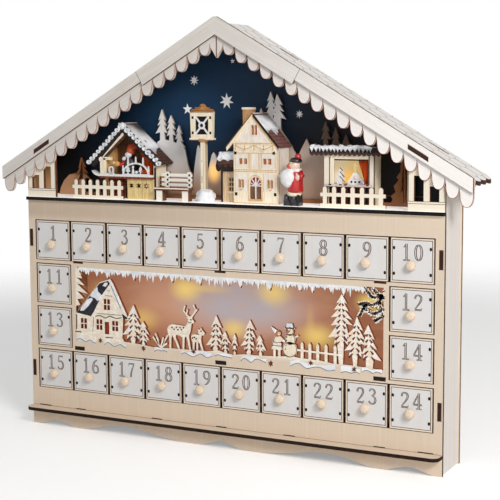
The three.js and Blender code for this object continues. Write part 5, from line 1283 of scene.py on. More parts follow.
# The third star is not cut through: a thin dark plate on the board stands for it as painted shade
last_star = star(-77.7, STAR_HEIGHT, STAR_TIP, STAR_NOTCH)
stall.plate([last_star, disc(-77.4, 11.9, 1.0, 8)], STALL_FRONT + 0.9, 0.15, walnut)
stall.block((-97.4, STALL_FRONT + 3, 1), (WALL_X - 2, STALL_FRONT + 3.4, 17.6), dark_paint_and_shade, 0)
for x in (-97.5, -82.2):
    stall.block((x, STALL_FRONT + 0.93, 0.2), (x + 0.3, STALL_FRONT + 1.1, 17.8), engraved, 0)
stall.block((WALL_X - 0.5, STALL_FRONT + 0.9, 0), (WALL_X + 0.05, STALL_FRONT + 3.2, 28), dark_paint_and_shade, 0)
rust_board = wood("rust_board", paint(92, 36, 22), paint(150, 78, 52))
# A dark sheet behind the row of boards is painted shade in their gaps
stall.block((POST_X + 3, STALL_FRONT + 6, 0), (-98, STALL_FRONT + 7, 18), dark_paint_and_shade, 0)
for i in range(8):
    x = POST_X + 4 + 3 * i
    stall.block((x, STALL_FRONT + 5, 0), (x + 1.6, STALL_FRONT + 6, 17.8), rust_board, 0.1)

# Counter: a white runner with a rolled end over a dark red board
runner = curved([(-133.4, 24.4), (-131, 21.4), (-127.4, 19.8), (-121, 19.6), (WALL_X - 1, 19.6)])
runner.append((WALL_X - 1, COUNTER))
runner += curved([(-120, COUNTER), (-126, 21.7), (-129.6, 23), (-133.4, 24.4)])[:-1]
stall.plate([runner], STALL_FRONT - 1, 6.6, white)
counter_edge = [(-127.6, 19.8), (-121, 19.6), (WALL_X - 1, 19.6), (WALL_X - 1, 17.7), (-124, 17.8)]
stall.plate([counter_edge], STALL_FRONT - 0.9, 5, rust_board)

# Candle arch and the small figures under it
ARCH = (-87.5, COUNTER)
arch = arc(*ARCH, 13, 10, 0, math.pi, 24)
stall.plate([ribbon(arch, 1.3)], STALL_FRONT - 0.9, 1.4, white)
stall.block((-101, STALL_FRONT - 1.1, COUNTER), (-74, STALL_FRONT + 1.2, COUNTER + 0.8), white)
CANDLES = [(-100.6, 24, 29.4), (-95.3, 30, 37), (-87.4, 31, 37.2), (-80, 30, 36.6), (-74.4, 24, 29.2)]
for x, low, high in CANDLES:
    candle = [(x - 0.75, low), (x + 0.75, low), (x + 0.35, high), (x - 0.35, high)]
    stall.plate([candle], STALL_FRONT - 0.8, 1.2, white)
FIR_HALF = [(0, 8.5), (1.9, 5.2), (1, 5.4), (2.6, 2.4), (0.7, 2.6), (0.7, 0)]
tiny_fir = FIR_HALF + [(-x, z) for x, z in FIR_HALF[:0:-1]]
for x, size in ((-95.6, 0.85), (-82.6, 0.8)):
    loop = [(x + size * u, COUNTER + 0.6 + size * v) for u, v in tiny_fir]
    stall.plate([loop], STALL_FRONT - 0.7, 1.0, white)
figure = [(0, 0), (1.3, 0), (1.1, 3), (0.5, 5), (0.9, 5.6), (0.8, 6.9), (0, 7.4)]
stall.turned(figure, (-90.4, STALL_FRONT - 0.1, COUNTER + 0.6), white, steps=12)
stall.ball((-87, STALL_FRONT - 0.2, COUNTER + 2.2), 1.2, snow, 0.3, (1.2, 0.6, 1))
for z in (22.9, 24.6):
    stall.rod([(-82, 8.6, z), (-79.4, 8.6, z + 0.9), (-76.4, 8.6, z + 0.4)], 0.5, cloth)
scroll = arc(-113, 25, 2.1, 3, -1.3, 4.3, 20)
stall.plate([ribbon(scroll, 1.1)], STALL_FRONT - 0.8, 1.4, white)
foot_roll = curved([(-117.4, COUNTER + 0.4), (-113.4, COUNTER + 0.9), (-110, COUNTER + 0.4)])
stall.plate([ribbon(foot_roll, 1.1)], STALL_FRONT - 0.8, 1.4, white)

# Keeper: dark coat, white beard, red-brown cap, and one arm stretched over the counter
KEEPER = Vector((-99, 19.5, 4.6))
brick = enamel("brick_enamel", paint(196, 82, 44), 0.45)
coat_profile = [(0, 12), (7.2, 12), (7.4, 22), (5.8, 29), (3.4, 32.6), (0, 34)]
stall.turned(coat_profile, KEEPER, black)
stall.ball(KEEPER + Vector((0.6, -1, 37)), 4.3, brick, 0.1)
stall.ball(KEEPER + Vector((-0.2, -4, 33.6)), 2.9, white, 0.35, (1.1, 0.6, 0.9))
stall.ball(KEEPER + Vector((-4.4, -4.4, 30.4)), 1.8, white, 0.3)
cap_profile = [(0, 38.4), (4.5, 38.6), (4.6, 39.6), (3.6, 41.6), (1.6, 43), (0, 43.2)]
# The cap is in the glowing red, so it glows with painted light too
stall.turned(cap_profile, KEEPER + Vector((1, 0, 0)), red_with_glow)
for x in (-1.6, 1.2):
    stall.ball(KEEPER + Vector((x, -4.9, 37.6)), 0.4, black)
sleeve = [KEEPER + Vector(p) for p in ((-4, -3, 27.4), (-6, -5, 25.2), (-8, -6.4, 24.6))]
stall.rod(sleeve, [2.4, 2.1, 1.8], red)
stall.ball((-109.4, 12.8, 30.4), 2.3, honey, 0.2, (1.3, 0.8, 1))
stall.ball((-112.2, 12.6, 31.2), 1.5, skin, 0.2)
DRAPE_Y = 16
drape = curved([(-86, 40), (-79, 42), (-73.4, 37), (-72.6, COUNTER), (-80, COUNTER), (-83.5, 31)], True, 6)
stall.plate([drape], DRAPE_Y, 1.4, cloth, ease=0.4)
for x in (-82.5, -78.5, -75):
    stall.rod([(x, DRAPE_Y, 23), (x + 0.6, DRAPE_Y - 0.3, 30), (x - 1, DRAPE_Y, 38)], [0.8, 0.7, 0.4], cloth)

# A small window in the wall on the right, with brown panes
PANE_Y = STALL_FRONT + 9
for y in (PANE_Y, PANE_Y + 4.1):
    for z in (9.4, 13.2, 17.0):
        stall.block((WALL_X - 0.1, y, z), (WALL_X + 0.12, y + 3.2, z + 3), walnut, 0)
for y in (PANE_Y - 0.9, PANE_Y + 3.3, PANE_Y + 7.5):
    stall.block((WALL_X, y, 8.6), (WALL_X + 0.4, y + 0.7, 20.6), honey, 0.1)
stall.done("case", "pale_figure_ply", "market_stall_left")


# The right stall is a cream frame under a low shingle roof with patches of snow.
# Warm light fills it, and a half fir and a gnome's house stand on the counter.
booth_low, booth_high = (corner / MM - Vector(STAGE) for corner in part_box("market_stall_right"))
BOOTH = (90, 133)
BOOTH_FRONT = 13
BOOTH_TOP = 43.4
BOOTH_OPEN = (95, 17, 128.6, 38.6)
LEAN_LOW = 43.6
LEAN_HIGH = 45.6
booth_back = booth_high.y
roof_ends = (booth_low.x, booth_high.x)

# The back wall glows warm: painted light, brightest behind the counter
booth_glow = Finish("booth_glow", roughness=0.8)
glow_place = booth_glow.place()
warmth = 1 - booth_glow.blot(glow_place, (107, STAGE_Z + 20), (9, 12), 0.1, 1.2)
side_share = (glow_place[0] - 94).between(0, 16)
far_shade = booth_glow.mix(side_share, paint(220, 208, 174), paint(226, 200, 136))
warm_shade = booth_glow.mix(warmth, paint(244, 190, 84), far_shade)
booth_glow.set("Base Color", warm_shade)
booth_glow.shine(warm_shade, 0.5)

booth = Work("stall_right", STAGE)
left, low, right, high = BOOTH_OPEN
frame_outline = [rectangle(BOOTH[0], 0, BOOTH[1], BOOTH_TOP), rectangle(left, low, right, high)]
frame_outline.append(rectangle(left - 0.6, 1, right + 0.6, 15.4))
booth.plate(frame_outline, BOOTH_FRONT, 1.8, cream_ply)
for x in (left - 0.5, right + 0.2):
    booth.block((x, BOOTH_FRONT - 0.12, low), (x + 0.35, BOOTH_FRONT + 0.1, high + 1.4), engraved, 0)
header = waves(left - 0.6, right + 0.4, 40.6, 1.1, 8)
booth.plate([header + [(right + 0.4, 43.2), (left - 0.6, 43.2)]], BOOTH_FRONT - 0.5, 0.5, cream)
# Dark strips under the header and down both sides of the opening are painted shade
booth.block((left + 4, BOOTH_FRONT - 0.2, 37.4), (right - 2, BOOTH_FRONT + 0.1, 38.4), dark_paint_and_shade, 0)
booth.block((left, BOOTH_FRONT - 0.3, low - 0.2), (left + 3.8, BOOTH_FRONT + 0.4, high), cream, 0.2)
for x in (left - 0.3, right + 0.3):
    booth.block((x, BOOTH_FRONT - 0.4, low), (x + 0.6, BOOTH_FRONT + 0.3, high + 2), dark_paint_and_shade, 0)
for x in (BOOTH[0], BOOTH[1] - 2):
    booth.block((x, BOOTH_FRONT + 1.8, 0), (x + 2, booth_back - 2, BOOTH_TOP), cream)
booth.block((BOOTH[0] + 2.2, booth_back - 2, 0), (BOOTH[1] - 2.2, booth_back, 43.8), booth_glow, 0)
for y in (BOOTH_FRONT + 2, booth_back - 2.6):
    booth.block((BOOTH[1] - 0.1, y, 0.4), (BOOTH[1] + 0.15, y + 0.6, 43), dark_paint_and_shade, 0)
curtain = curved([(119, 38.4), (130, 38.4), (130, 16.8), (125.6, 16.8), (121.6, 27)], True, 6)
booth.plate([curtain], BOOTH_FRONT + 4, 1.2, cloth, ease=0.3)
for x in (122.6, 125.6):
    fold = [(x, BOOTH_FRONT + 3.8, 37), (x + 1, BOOTH_FRONT + 3.5, 28), (x + 1.4, BOOTH_FRONT + 3.8, 17)]
    booth.rod(fold, 0.7, cloth)
booth.rod([(128.6, BOOTH_FRONT + 3.6, 38), (128.8, BOOTH_FRONT + 3.4, 17)], 1.1, rust_board)

# Counter with a row of brown boards below it
lilac = wood("lilac_counter", paint(206, 186, 182), paint(230, 214, 206), (3, 3, 3))
booth.block((BOOTH[0] + 1, 10.6, 16.2), (BOOTH[1] - 1, booth_back - 2.4, 18.2), lilac)
booth.block((BOOTH[0] + 1, 10.5, 15.6), (BOOTH[1] - 1, 10.9, 16.4), dark_paint_and_shade, 0)
for x in (95, 104.2, 108.6, 127.6):
    booth.block((x, 10.4, 17.4), (x + 2.2, 10.9, 18.4), dark_paint_and_shade, 0.1)
# A dark sheet behind the row of brown boards is painted shade in their gaps
booth.block((BOOTH[0] + 2, BOOTH_FRONT + 2.4, 0.5), (BOOTH[1] - 2, BOOTH_FRONT + 3.4, 15.6), dark_paint_and_shade, 0.1)
for i in range(12):
    x = BOOTH[0] + 3 + 3.1 * i
    booth.block((x, BOOTH_FRONT + 2.1, 0.5), (x + 1.5, BOOTH_FRONT + 2.45, 15.4), rust_board, 0.1)

# Lean-to roof: a sloping board, two fringes of round shingles, and snow on them
lean_run = math.hypot(booth_back - BOOTH_FRONT + 2, LEAN_HIGH - LEAN_LOW)
lean_fall = Vector((0, BOOTH_FRONT - 2 - booth_back, LEAN_LOW - LEAN_HIGH)).normalized()
lean_out = Vector((1, 0, 0)).cross(lean_fall)
lean_out *= math.copysign(1, lean_out.z)
lean_ways = [(1, 0, 0, 0), (*lean_fall, 0), (*lean_out, 0), (0, booth_back, LEAN_HIGH, 1)]
lean = Matrix(lean_ways).transposed()
booth.plate([rectangle(roof_ends[0], 0, roof_ends[1], lean_run - 0.3)], 0, ROOF_PLY, planks, lean)
for low_edge, reach, out, finish in ((42.6, 1.5, 2.5, planks), (44.8, 1.6, 2.9, dark_paint_and_shade)):
    fringe = waves(roof_ends[0], roof_ends[1], low_edge, reach, 15)
    outline = [(roof_ends[0], low_edge + 2.6)] + fringe + [(roof_ends[1], low_edge + 2.6)]
    booth.plate([outline], BOOTH_FRONT - out, out - 1.6, finish)
chance = random.Random(5)
zigzag = [(roof_ends[0] + 0.4, 48)]
x = roof_ends[0] + 0.6
while x < roof_ends[1] - 8:
    wide = 2.4 + 1.8 * chance.random()
    zigzag += [(x + wide / 2, 45 - 0.8 * chance.random()), (x + wide, 46.8 + 1.4 * chance.random())]
    x += wide
top_edge = []
while x > roof_ends[0] + 1:
    top_edge.append((x, 48.6 + 1.6 * chance.random()))
    x -= 2 + 1.6 * chance.random()
booth.plate([zigzag + top_edge], BOOTH_FRONT - 3.5, 1.0, snow, ease=0.2)
booth.plate([rectangle(roof_ends[1] - 9, 45.6, roof_ends[1], 48)], BOOTH_FRONT - 3, 1.0, dark_paint_and_shade)
for i in range(14):
    x = roof_ends[0] + 3 + 3.6 * i
    if i % 4 != 2:
        lump = (x, BOOTH_FRONT - 2.2, 48 + chance.random())
        booth.ball(lump, 1.3 + 0.6 * chance.random(), snow, 0.5, (1.2, 0.8, 0.8))
cover = [(roof_ends[0] + 1, 1), (roof_ends[1] - 9, 1)]
for i in range(25):
    share = 0.78 + 0.14 * math.sin(1.9 * i) + 0.08 * math.sin(5.1 * i)
    x = roof_ends[1] - 9 - i * (roof_ends[1] - roof_ends[0] - 10) / 24
    cover.append((x, lean_run * min(share, 0.96)))
booth.plate([cover], ROOF_PLY, 0.8, snow, lean, ease=0.15)

# Half fir and the gnome's house on the counter
half_fir = [
    (103, 32), (105.6, 28.6), (103.8, 28.8), (106.8, 25.2), (104.4, 25.4), (108, 21.4), (105, 21.6),
    (105, 18), (100.4, 18), (100.2, 21), (98.6, 20.6), (100.8, 24.6), (99.6, 24.4), (101.8, 28),
]
booth.plate([half_fir], BOOTH_FRONT + 1.9, 1.6, white)
for twig in (((103, 31.6), (105.6, 28.8)), ((102.8, 28.4), (107, 24)), ((102.8, 24.6), (107.4, 19.8))):
    booth.plate([ribbon(twig, 0.75)], BOOTH_FRONT + 1.84, 0.1, walnut)
gnome_wall = [
    (111.4, 18), (124.6, 18), (124.8, 20), (122.4, 23), (120, 26.6), (118.6, 28.6), (117, 28.6),
    (115.4, 26.2), (113, 22.6), (111, 20),
]
booth.plate([gnome_wall], BOOTH_FRONT - 1.2, 2.2, white, ease=0.2)
spire = curved([(116.4, 28), (117, 31.4), (116.2, 33), (117.8, 36), (119.2, 33), (118.6, 31.2), (119.4, 28)])
booth.plate([spire], BOOTH_FRONT - 1.6, 0.9, straw)
booth.ball((117.8, BOOTH_FRONT - 1.5, 24), 1.5, skin, 0, (1, 0.4, 1))
for x in (114.6, 117.8, 121.2):
    booth.ball((x, BOOTH_FRONT - 1.4, 20.4), 0.9, dark_paint_and_shade, 0, (1, 0.4, 1))
booth.done("case", "pale_figure_ply", "market_stall_right")


# The village house is a tall gabled front of cream plywood with golden carved edges, between
# side walls and a steep roof with snow. A porch with a rounded hood joins it on the left.
HOUSE = (10, 50)
HOUSE_FRONT = 7
HOUSE_RIDGE = (28, 76)
HOUSE_SLOPE = 1.14
HOUSE_ROOF = (3.4, 52)
ROOF_RISE = 3.84
FIELD_PAINT = 0.06
house_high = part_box("village_house")[1] / MM - Vector(STAGE)
house_back = house_high.y

gold = wood("gold_edge", paint(196, 152, 100), paint(222, 186, 136))
frosted = wood("frosted_field", paint(230, 219, 205), paint(243, 234, 223), (3, 3, 8))
mauve = wood("mauve_planks", paint(112, 74, 72), paint(146, 104, 98), (14, 1.2, 1.2))
tan_wall = wood("tan_wall", paint(180, 128, 84), paint(208, 164, 118))
pale_wall = wood("pale_wall", paint(196, 164, 126), paint(226, 200, 166))

house = Work("village_house_model", STAGE)


def house_under(x):
    return HOUSE_RIDGE[1] - HOUSE_SLOPE * abs(x - HOUSE_RIDGE[0]) - ROOF_RISE


def arched(left, low, right, high):
    """A window or door with a round head."""
    radius = (right - left) / 2
    head = arc(left + radius, high - radius, radius, radius, 0, math.pi, 8)
    return [(left, low), (right, low)] + head


UPPER_WINDOWS = [rectangle(x, 33, x + 3.4, 37.8) for x in (14.8, 19.2, 37.2, 41.6)]
LOWER_WINDOWS = [arched(x, 13.4, x + 2.3, 20.4) for x in (14.4, 17.2, 41.2, 44.2)]
GABLE_WINDOWS = [arched(26.6, 57.4, 29, 65.6), arched(29.6, 57.4, 32, 65.6)]
DOOR = [arched(24.8, 4, 35.8, 22.6)]
openings = UPPER_WINDOWS + LOWER_WINDOWS + GABLE_WINDOWS + DOOR
gable = [(HOUSE[0], 0), (HOUSE[1], 0), (HOUSE[1], house_under(HOUSE[1]))]
gable += [(HOUSE_RIDGE[0], house_under(HOUSE_RIDGE[0])), (HOUSE[0], house_under(HOUSE[0]))]
house.plate([gable] + openings, HOUSE_FRONT, 2, cream)
# Behind the openings lies a red sheet that glows with painted light
house.plate([gable], HOUSE_FRONT + 2, 0.6, red_with_glow)

# Frosted fields between golden lines
fields = [
    rectangle(11.4, 29.6, 23.8, 41.6), rectangle(36.2, 29.6, 48.6, 41.6), rectangle(26.4, 29.6, 33.6, 41.6),
    rectangle(11.4, 10.4, 23.4, 25.4), rectangle(38, 10.4, 48.6, 25.4),
]
for field in fields:
    left, low = field[0]
    right, high = field[2]
    holes = [loop for loop in openings if left < loop[0][0] < right and low < loop[0][1] < high]
    house.plate([field] + holes, HOUSE_FRONT - FIELD_PAINT, FIELD_PAINT, frosted)
    for x in (left, right):
        house.plate([rectangle(x - 0.2, low, x + 0.2, high)], HOUSE_FRONT - 0.14, 0.14, gold)
for low, high in ((26.6, 27.1), (28.0, 28.5), (42.0, 42.5), (0.2, 0.8)):
    house.plate([rectangle(HOUSE[0], low, HOUSE[1], high)], HOUSE_FRONT - 0.2, 0.2, gold)
for x in (24.6, 26.0, 33.9, 35.3):
    house.plate([rectangle(x, 28.6, x + 0.35, 42)], HOUSE_FRONT - 0.1, 0.1, gold)
upper_field = [(13.6, 51.2), (42.4, 51.2), (29.6, house_under(29.6) - 2.2), (28, house_under(28) - 4)]
upper_field.append((26.4, house_under(26.4) - 2.2))
house.plate([upper_field] + GABLE_WINDOWS, HOUSE_FRONT - FIELD_PAINT, FIELD_PAINT, frosted)

# Window bars, sills and golden surrounds
for loop in LOWER_WINDOWS + GABLE_WINDOWS:
    house.plate([ribbon(loop[2:] + loop[:2], 0.3)], HOUSE_FRONT - 0.15, 0.15, gold)
for loop in UPPER_WINDOWS + LOWER_WINDOWS:
    left, low = loop[0]
    right = loop[1][0]
    high = max(z for x, z in loop)
    middle = (left + right) / 2
    house.block((middle - 0.15, HOUSE_FRONT + 0.6, low), (middle + 0.15, HOUSE_FRONT + 1.2, high), honey, 0)
SILLS = [(14.2, 23.2, 32), (36.6, 45.6, 32), (14, 20, 12.4), (40.8, 47, 12.4), (26, 32.6, 56.4)]
for left, right, low in SILLS:
    house.block((left, HOUSE_FRONT - 0.7, low), (right, HOUSE_FRONT + 0.3, low + 0.8), cream, 0.12)
for middle in (17, 44):
    drop = [(middle - 2, 12.5), (middle + 2, 12.5), (middle, 10.8)]
    house.plate([drop], HOUSE_FRONT - 0.3, 0.3, gold)

# Round-headed door: one bar down the middle and rays in its fanlight over two dark leaves
left, low = DOOR[0][0]
right = DOOR[0][1][0]
middle = (left + right) / 2
SPRING = 15.2
house.block((middle - 0.45, HOUSE_FRONT + 0.2, low), (middle + 0.45, HOUSE_FRONT + 1.2, 22.4), white, 0)
house.block((left, HOUSE_FRONT + 0.3, SPRING - 0.5), (right, HOUSE_FRONT + 1.2, SPRING + 0.3), white, 0)
for turn in (0.14, 0.32, 0.68, 0.86):
    reach = 5.4 + 1.8 * math.sin(math.pi * turn)
    tip = (middle + reach * math.cos(math.pi * turn), SPRING + reach * math.sin(math.pi * turn))
    house.plate([ribbon([(middle, SPRING), tip], 0.7)], HOUSE_FRONT + 0.4, 0.7, white)
hub = arc(middle, SPRING, 1.5, 1.5, 0, math.pi, 8)
house.plate([hub], HOUSE_FRONT + 0.3, 0.8, white)
for x in (left, middle + 0.5):
    house.block((x + 0.3, HOUSE_FRONT + 1.1, low), (x + 4.6, HOUSE_FRONT + 1.9, SPRING - 1), walnut, 0.1)
house.block((24, HOUSE_FRONT - 1.2, 2.8), (37.2, HOUSE_FRONT + 0.5, 3.8), gold, 0.15)
outer_arch = arched(left - 1, low, right + 1, 23.8)
house.plate([ribbon(outer_arch[1:] + outer_arch[:1], 0.4)], HOUSE_FRONT - 0.3, 0.3, gold)

# Carved band with swags across the foot of the gable
for low, high in ((50.1, 50.6), (48.9, 49.2)):
    house.plate([rectangle(11.4, low, 46.6, high)], HOUSE_FRONT - 0.4, 0.4, gold)
band = waves(11, 49, 45.6, 1.2, 8)
house.plate([band + [(49, 49), (11, 49)]], HOUSE_FRONT - 0.5, 0.5, cream)
for left in (12, 29.6):
    for rise, finish in ((0, gold), (-1.2, frosted)):
        swag = [(left + 0.6, 48.6 + rise), (left + 8.6, 45.4 + rise), (left + 16.6, 48.6 + rise)]
        house.plate([ribbon(curved(swag, False, 6), 0.5)], HOUSE_FRONT - 0.8, 0.3, finish)
for x in (12.4, 20.6, 29.4, 38.2, 46.8):
    house.block((x - 0.35, HOUSE_FRONT - 0.8, 44.2), (x + 0.35, HOUSE_FRONT, 49), gold, 0.1)
    house.ball((x, HOUSE_FRONT - 0.7, 44), 0.75, cream, 0, (1, 0.5, 1))
for x, z in ((11.7, 42.3), (47.4, 42.6), (12.2, 8), (48.6, 8.4)):
    house.block((x - 1.1, HOUSE_FRONT - 0.25, z - 1.3), (x + 1.1, HOUSE_FRONT + 0.1, z + 1.3), scorched, 0)

# Side and back walls, the one on the right frosted between a cream strip and a dark edge
for x, finish in ((HOUSE[0], cream), (HOUSE[1] - 2, frosted)):
    high = min(house_under(x), house_under(x + 2))
    house.block((x, HOUSE_FRONT + 2.6, 0), (x + 2, house_back - 2, high), finish)
house.block((HOUSE[1] - 0.1, HOUSE_FRONT + 2, 0), (HOUSE[1] + 0.1, HOUSE_FRONT + 4.4, 44), cream, 0)
house.block((HOUSE[1] - 0.1, HOUSE_FRONT + 4.4, 0), (HOUSE[1] + 0.12, HOUSE_FRONT + 4.8, 44), engraved, 0)
house.plate([gable], house_back - 2, 2, cream)

# Roof slopes: planks under snow, a washed edge board on the left and a scalloped one on the right
feet = [(x, HOUSE_RIDGE[1] - HOUSE_SLOPE * abs(x - HOUSE_RIDGE[0]) - 0.6) for x in HOUSE_ROOF]
roof_deep = house_back - HOUSE_FRONT + 3.6
ridge = (HOUSE_RIDGE[0], HOUSE_RIDGE[1] - 0.6)
for foot, seed in zip(feet, (4, 9)):
    run = math.hypot(foot[0] - ridge[0], ridge[1] - foot[1])
    lie = on_slope(ridge, foot, HOUSE_FRONT, -2.4)
    house.plate([rectangle(0, 0, roof_deep, run - 0.2)], 0, 1.5, mauve, lie)
    for k in range(1, 10):
        at = run * k / 10
        house.plate([rectangle(0, at - 0.18, roof_deep, at + 0.18)], 1.5, 0.07, dark_paint_and_shade, lie)
    house.plate([drips(roof_deep, 0.42 * run, 0.24 * run, 6, seed)], 1.55, 0.8, snow, lie, ease=0.15)
    eave_notches = [(u, run - 0.3 + 0.8 * abs(math.sin(0.75 * u))) for u in range(int(roof_deep) + 1)]
    house.plate([[(0, run - 1)] + eave_notches + [(roof_deep, run - 1)]], 0, 1.5, mauve, lie)
left_foot, right_foot = feet
left_edge = [left_foot, ridge, (ridge[0], ridge[1] - 4.2), (left_foot[0] + 0.4, left_foot[1] - 3.6)]
house.plate([left_edge], HOUSE_FRONT - 1, 1, cream)
top_line = [(left_foot[0], left_foot[1] - 0.2), (ridge[0], ridge[1] - 0.3)]
house.plate([ribbon(top_line, 0.9)], HOUSE_FRONT - 1.05, 0.3, walnut)
right_edge = [right_foot, ridge, (ridge[0], ridge[1] - 3.4), (right_foot[0] - 0.4, right_foot[1] - 2.4)]
house.plate([right_edge], HOUSE_FRONT - 0.6, 0.6, dark_paint_and_shade)
inner_edge = [(right_foot[0] - 1.2, right_foot[1] - 1.9), (ridge[0], ridge[1] - 3.6)]
house.plate([ribbon(inner_edge, 1)], HOUSE_FRONT - 0.7, 0.3, gold)

# Chimney with a cream cap
CHIMNEY = (13, 18, 22, 24)
house.block((CHIMNEY[0], CHIMNEY[1], 56), (CHIMNEY[2], CHIMNEY[3], 78.4), tan_wall)
house.block((CHIMNEY[0] - 0.6, CHIMNEY[1] - 0.6, 78), (CHIMNEY[2] + 0.3, CHIMNEY[3] + 0.6, 79.9), cream)

# Porch: a wall with a window of six panes, a post, and a hood of snow over round shingles
panes = [rectangle(x, z, x + 1.9, z + 3) for x in (1.6, 4.2) for z in (9.8, 13.7, 17.6)]
house.plate([rectangle(-4, 0, HOUSE[0], 26)] + panes, 14, 1.6, pale_wall)
# A dark sheet behind the panes is painted shade
house.block((-3.6, 15.6, 0.2), (HOUSE[0] - 0.4, 16, 25.6), dark_paint_and_shade, 0)
house.plate([rectangle(0.9, 9, 6.8, 21.2), rectangle(1.4, 9.6, 6.3, 20.8)], 13.8, 0.3, tan_wall)
house.block((0.6, 13.5, 8.2), (7, 14.2, 9.2), cream, 0.1)
house.block((7.2, 13.9, 0), (7.6, 14.1, 26), walnut, 0)
house.block((-5.6, 14, 0), (-4, 26, 27), walnut)
house.block((-5.7, 13.6, 0), (-4.3, 14.2, 27), dark_paint_and_shade, 0)
house.block((HOUSE[0] - 2, 15, 0), (HOUSE[0], 26, 26), walnut)
hood_board = curved([(-9.4, 28), (-7.6, 35), (-5, 42)]) + [(HOUSE[0], 42), (HOUSE[0], 27), (-9, 27)]
house.plate([hood_board], 12.2, 14, planks)
HOOD_ROWS = [(29.4, (-9.8, -4.4, 1, 6.2, 10)), (33, (-8, -2.6, 2.8, 8.6, 10))]
for row, (lobe_low, ends) in enumerate(HOOD_ROWS):
    lobes = [(ends[0], lobe_low + 1)]
    for left, right in zip(ends, ends[1:]):
        for i in range(1, 9):
            share = i / 8
            lobes.append((left + share * (right - left), lobe_low - 3.4 * math.sin(math.pi * share) ** 0.7))
    lobes += [(HOUSE[0], 37), (ends[0] + 1.6, 37)]
    house.plate([lobes], 11.6 - 0.5 * row, 0.7, planks if row else dark_paint_and_shade)
bank = curved([(-8.4, 36.4), (-5, 34.8), (-1.6, 36.8), (2.4, 35), (5, 36.4), (9.6, 35.4)], False, 4)
bank += [(9.8, 42.4), (2, 43), (-4.6, 42.2)]
house.plate([bank], 10.6, 1.1, snow, ease=0.3)
chance = random.Random(2)
for i in range(14):
    x = -5.6 + 13.6 * chance.random()
    z = 37.4 + 4.6 * chance.random()
    lump = (max(x, -7 + 0.45 * (z - 37)), 11, z)
    house.ball(lump, 1.1 + 0.7 * chance.random(), snow, 0.4, (1.1, 0.35, 0.9))
house.block((-5.6, 12.2, 41.6), (HOUSE[0], 26.4, 42.6), snow, 0.3)
house.done("case", "pale_figure_ply", "village_house")


# The street lamp is a square post in a snowdrift. Its lantern is glued up from cut frames,
# under stepped cap boards with a ball on top.
lamp = Work("street_lamp", STAGE)
POST = (-22.4, -18.8)
LAMP_X = -20.6
lamp.block((POST[0], 8, 0), (POST[1], 11, 50.4), cream)
lamp.block((POST[0], 11, 0), (POST[1] - 0.3, 15, 50), pale_wall)
lamp.block((POST[0] + 2.6, 7.95, 0.5), (POST[0] + 3, 8.1, 50), tan_wall, 0)
for low, high in ((16, 22), (34, 35.4)):
    lamp.block((POST[0] + 1.2, 7.94, low), (POST[0] + 1.6, 8.1, high), engraved, 0)
lamp.block((POST[1] - 0.1, 10.8, 2), (POST[1] + 0.06, 11.1, 50), engraved, 0)
funnel = [(0, 50), (2.3, 50), (2.5, 50.4), (3.5, 51), (4.8, 52.6), (5, 53.4), (0, 53.4)]
lamp.turned(funnel, (LAMP_X, 10.5, 0), tan_wall)
lamp.block((-32.2, 6.5, 52.7), (-9.4, 12, 54.2), cream)
lamp.block((-32, 6.45, 52.4), (-9.6, 6.8, 52.9), tan_wall, 0)
LANTERN = [(-30.8, 54), (-10.6, 54), (-9.8, 76), (-31.6, 76)]
WINDOW = (-26.8, 57.2, -14, 72.4)
lamp.plate([LANTERN, rectangle(*WINDOW)], 7, 1.4, cream)
lamp.plate([LANTERN, rectangle(-28, 56, -12.6, 74)], 8.4, 2.6, cream)
lamp.block((WINDOW[0] - 0.6, 10, WINDOW[1] - 0.6), (WINDOW[2] + 0.6, 10.4, WINDOW[3] + 0.6), dark_paint_and_shade, 0)
left, low, right, high = WINDOW
centre_x = (left + right) / 2
centre_z = (low + high) / 2
for start, end in (((left, low), (right, high)), ((left, high), (right, low))):
    lamp.plate([ribbon([start, end], 1.5)], 7.3, 0.8, white)
for radius, out, finish in ((3.2, 7.0, white), (1.5, 6.9, dark_paint_and_shade)):
    lamp.plate([disc(centre_x, centre_z, radius, 20)], out, 0.5, finish)
for x in (-29, -11.9):
    for z in (58.6, 71.4):
        lamp.block((x - 0.9, 6.8, z - 1.1), (x + 0.9, 7.1, z + 1.1), scorched, 0)
amber = wood("amber_cap", paint(150, 92, 44), paint(206, 146, 82), (12, 1.2, 1.2))
CAP_STEPS = [(-31.4, -9.8, 75.7, 77.1), (-30, -11, 77.1, 78.6), (-26.6, -14.6, 78.6, 80)]
for left, right, low, high in CAP_STEPS:
    lamp.block((left, 6.8, low), (right, 11.4, high), amber)
    lamp.block((left, 6.7, low), (right, 7.0, low + 0.35), walnut, 0)
lamp.ball((-20.2, 9, 80), 3.1, amber)
lamp.ball((-18.2, 9.4, 5.4), 6.4, snow, 0.3, (1.3, 1, 0.95))
lamp.ball((-21.6, 9.6, 3.6), 4.8, snow, 0.3, (1.3, 1, 0.85))
lamp.ball((-20, 10, 0.8), 6.4, snow, 0.25, (1.3, 0.9, 0.22))
lamp.done("case", "pale_figure_ply", "lamp_post")


# The bench is glued up from thin boards: slats let into two posts, a thick seat with
# # a burnt edge, and two board legs. Its tabs are burnt dark, and the shadows of its slats are painted.
bench_ply = ply("bench_ply", paint(244, 234, 212), paint(120, 78, 52), wash=paint(246, 240, 230))
coat(bench_ply, "park_bench")
bench = Work("bench_tabs_and_painted_shadows", STAGE)
for z in (14.0, 18.0, 22.2):
    for x in (-56.4, -34.9):
        bench.block((x, 8.9, z - 0.9), (x + 1.7, 9.1, z + 0.9), scorched, 0.1)
bench.block((-65.3, 1.95, 9.2), (-31.2, 2.2, 10.4), fret_gap, 0)
# Painted shadows under the back slats
for z in (15.4, 19.6):
    bench.block((-55, 8.92, z - 0.3), (-35, 9.05, z + 0.3), walnut, 0)
bench.done("case", "pale_figure_ply")


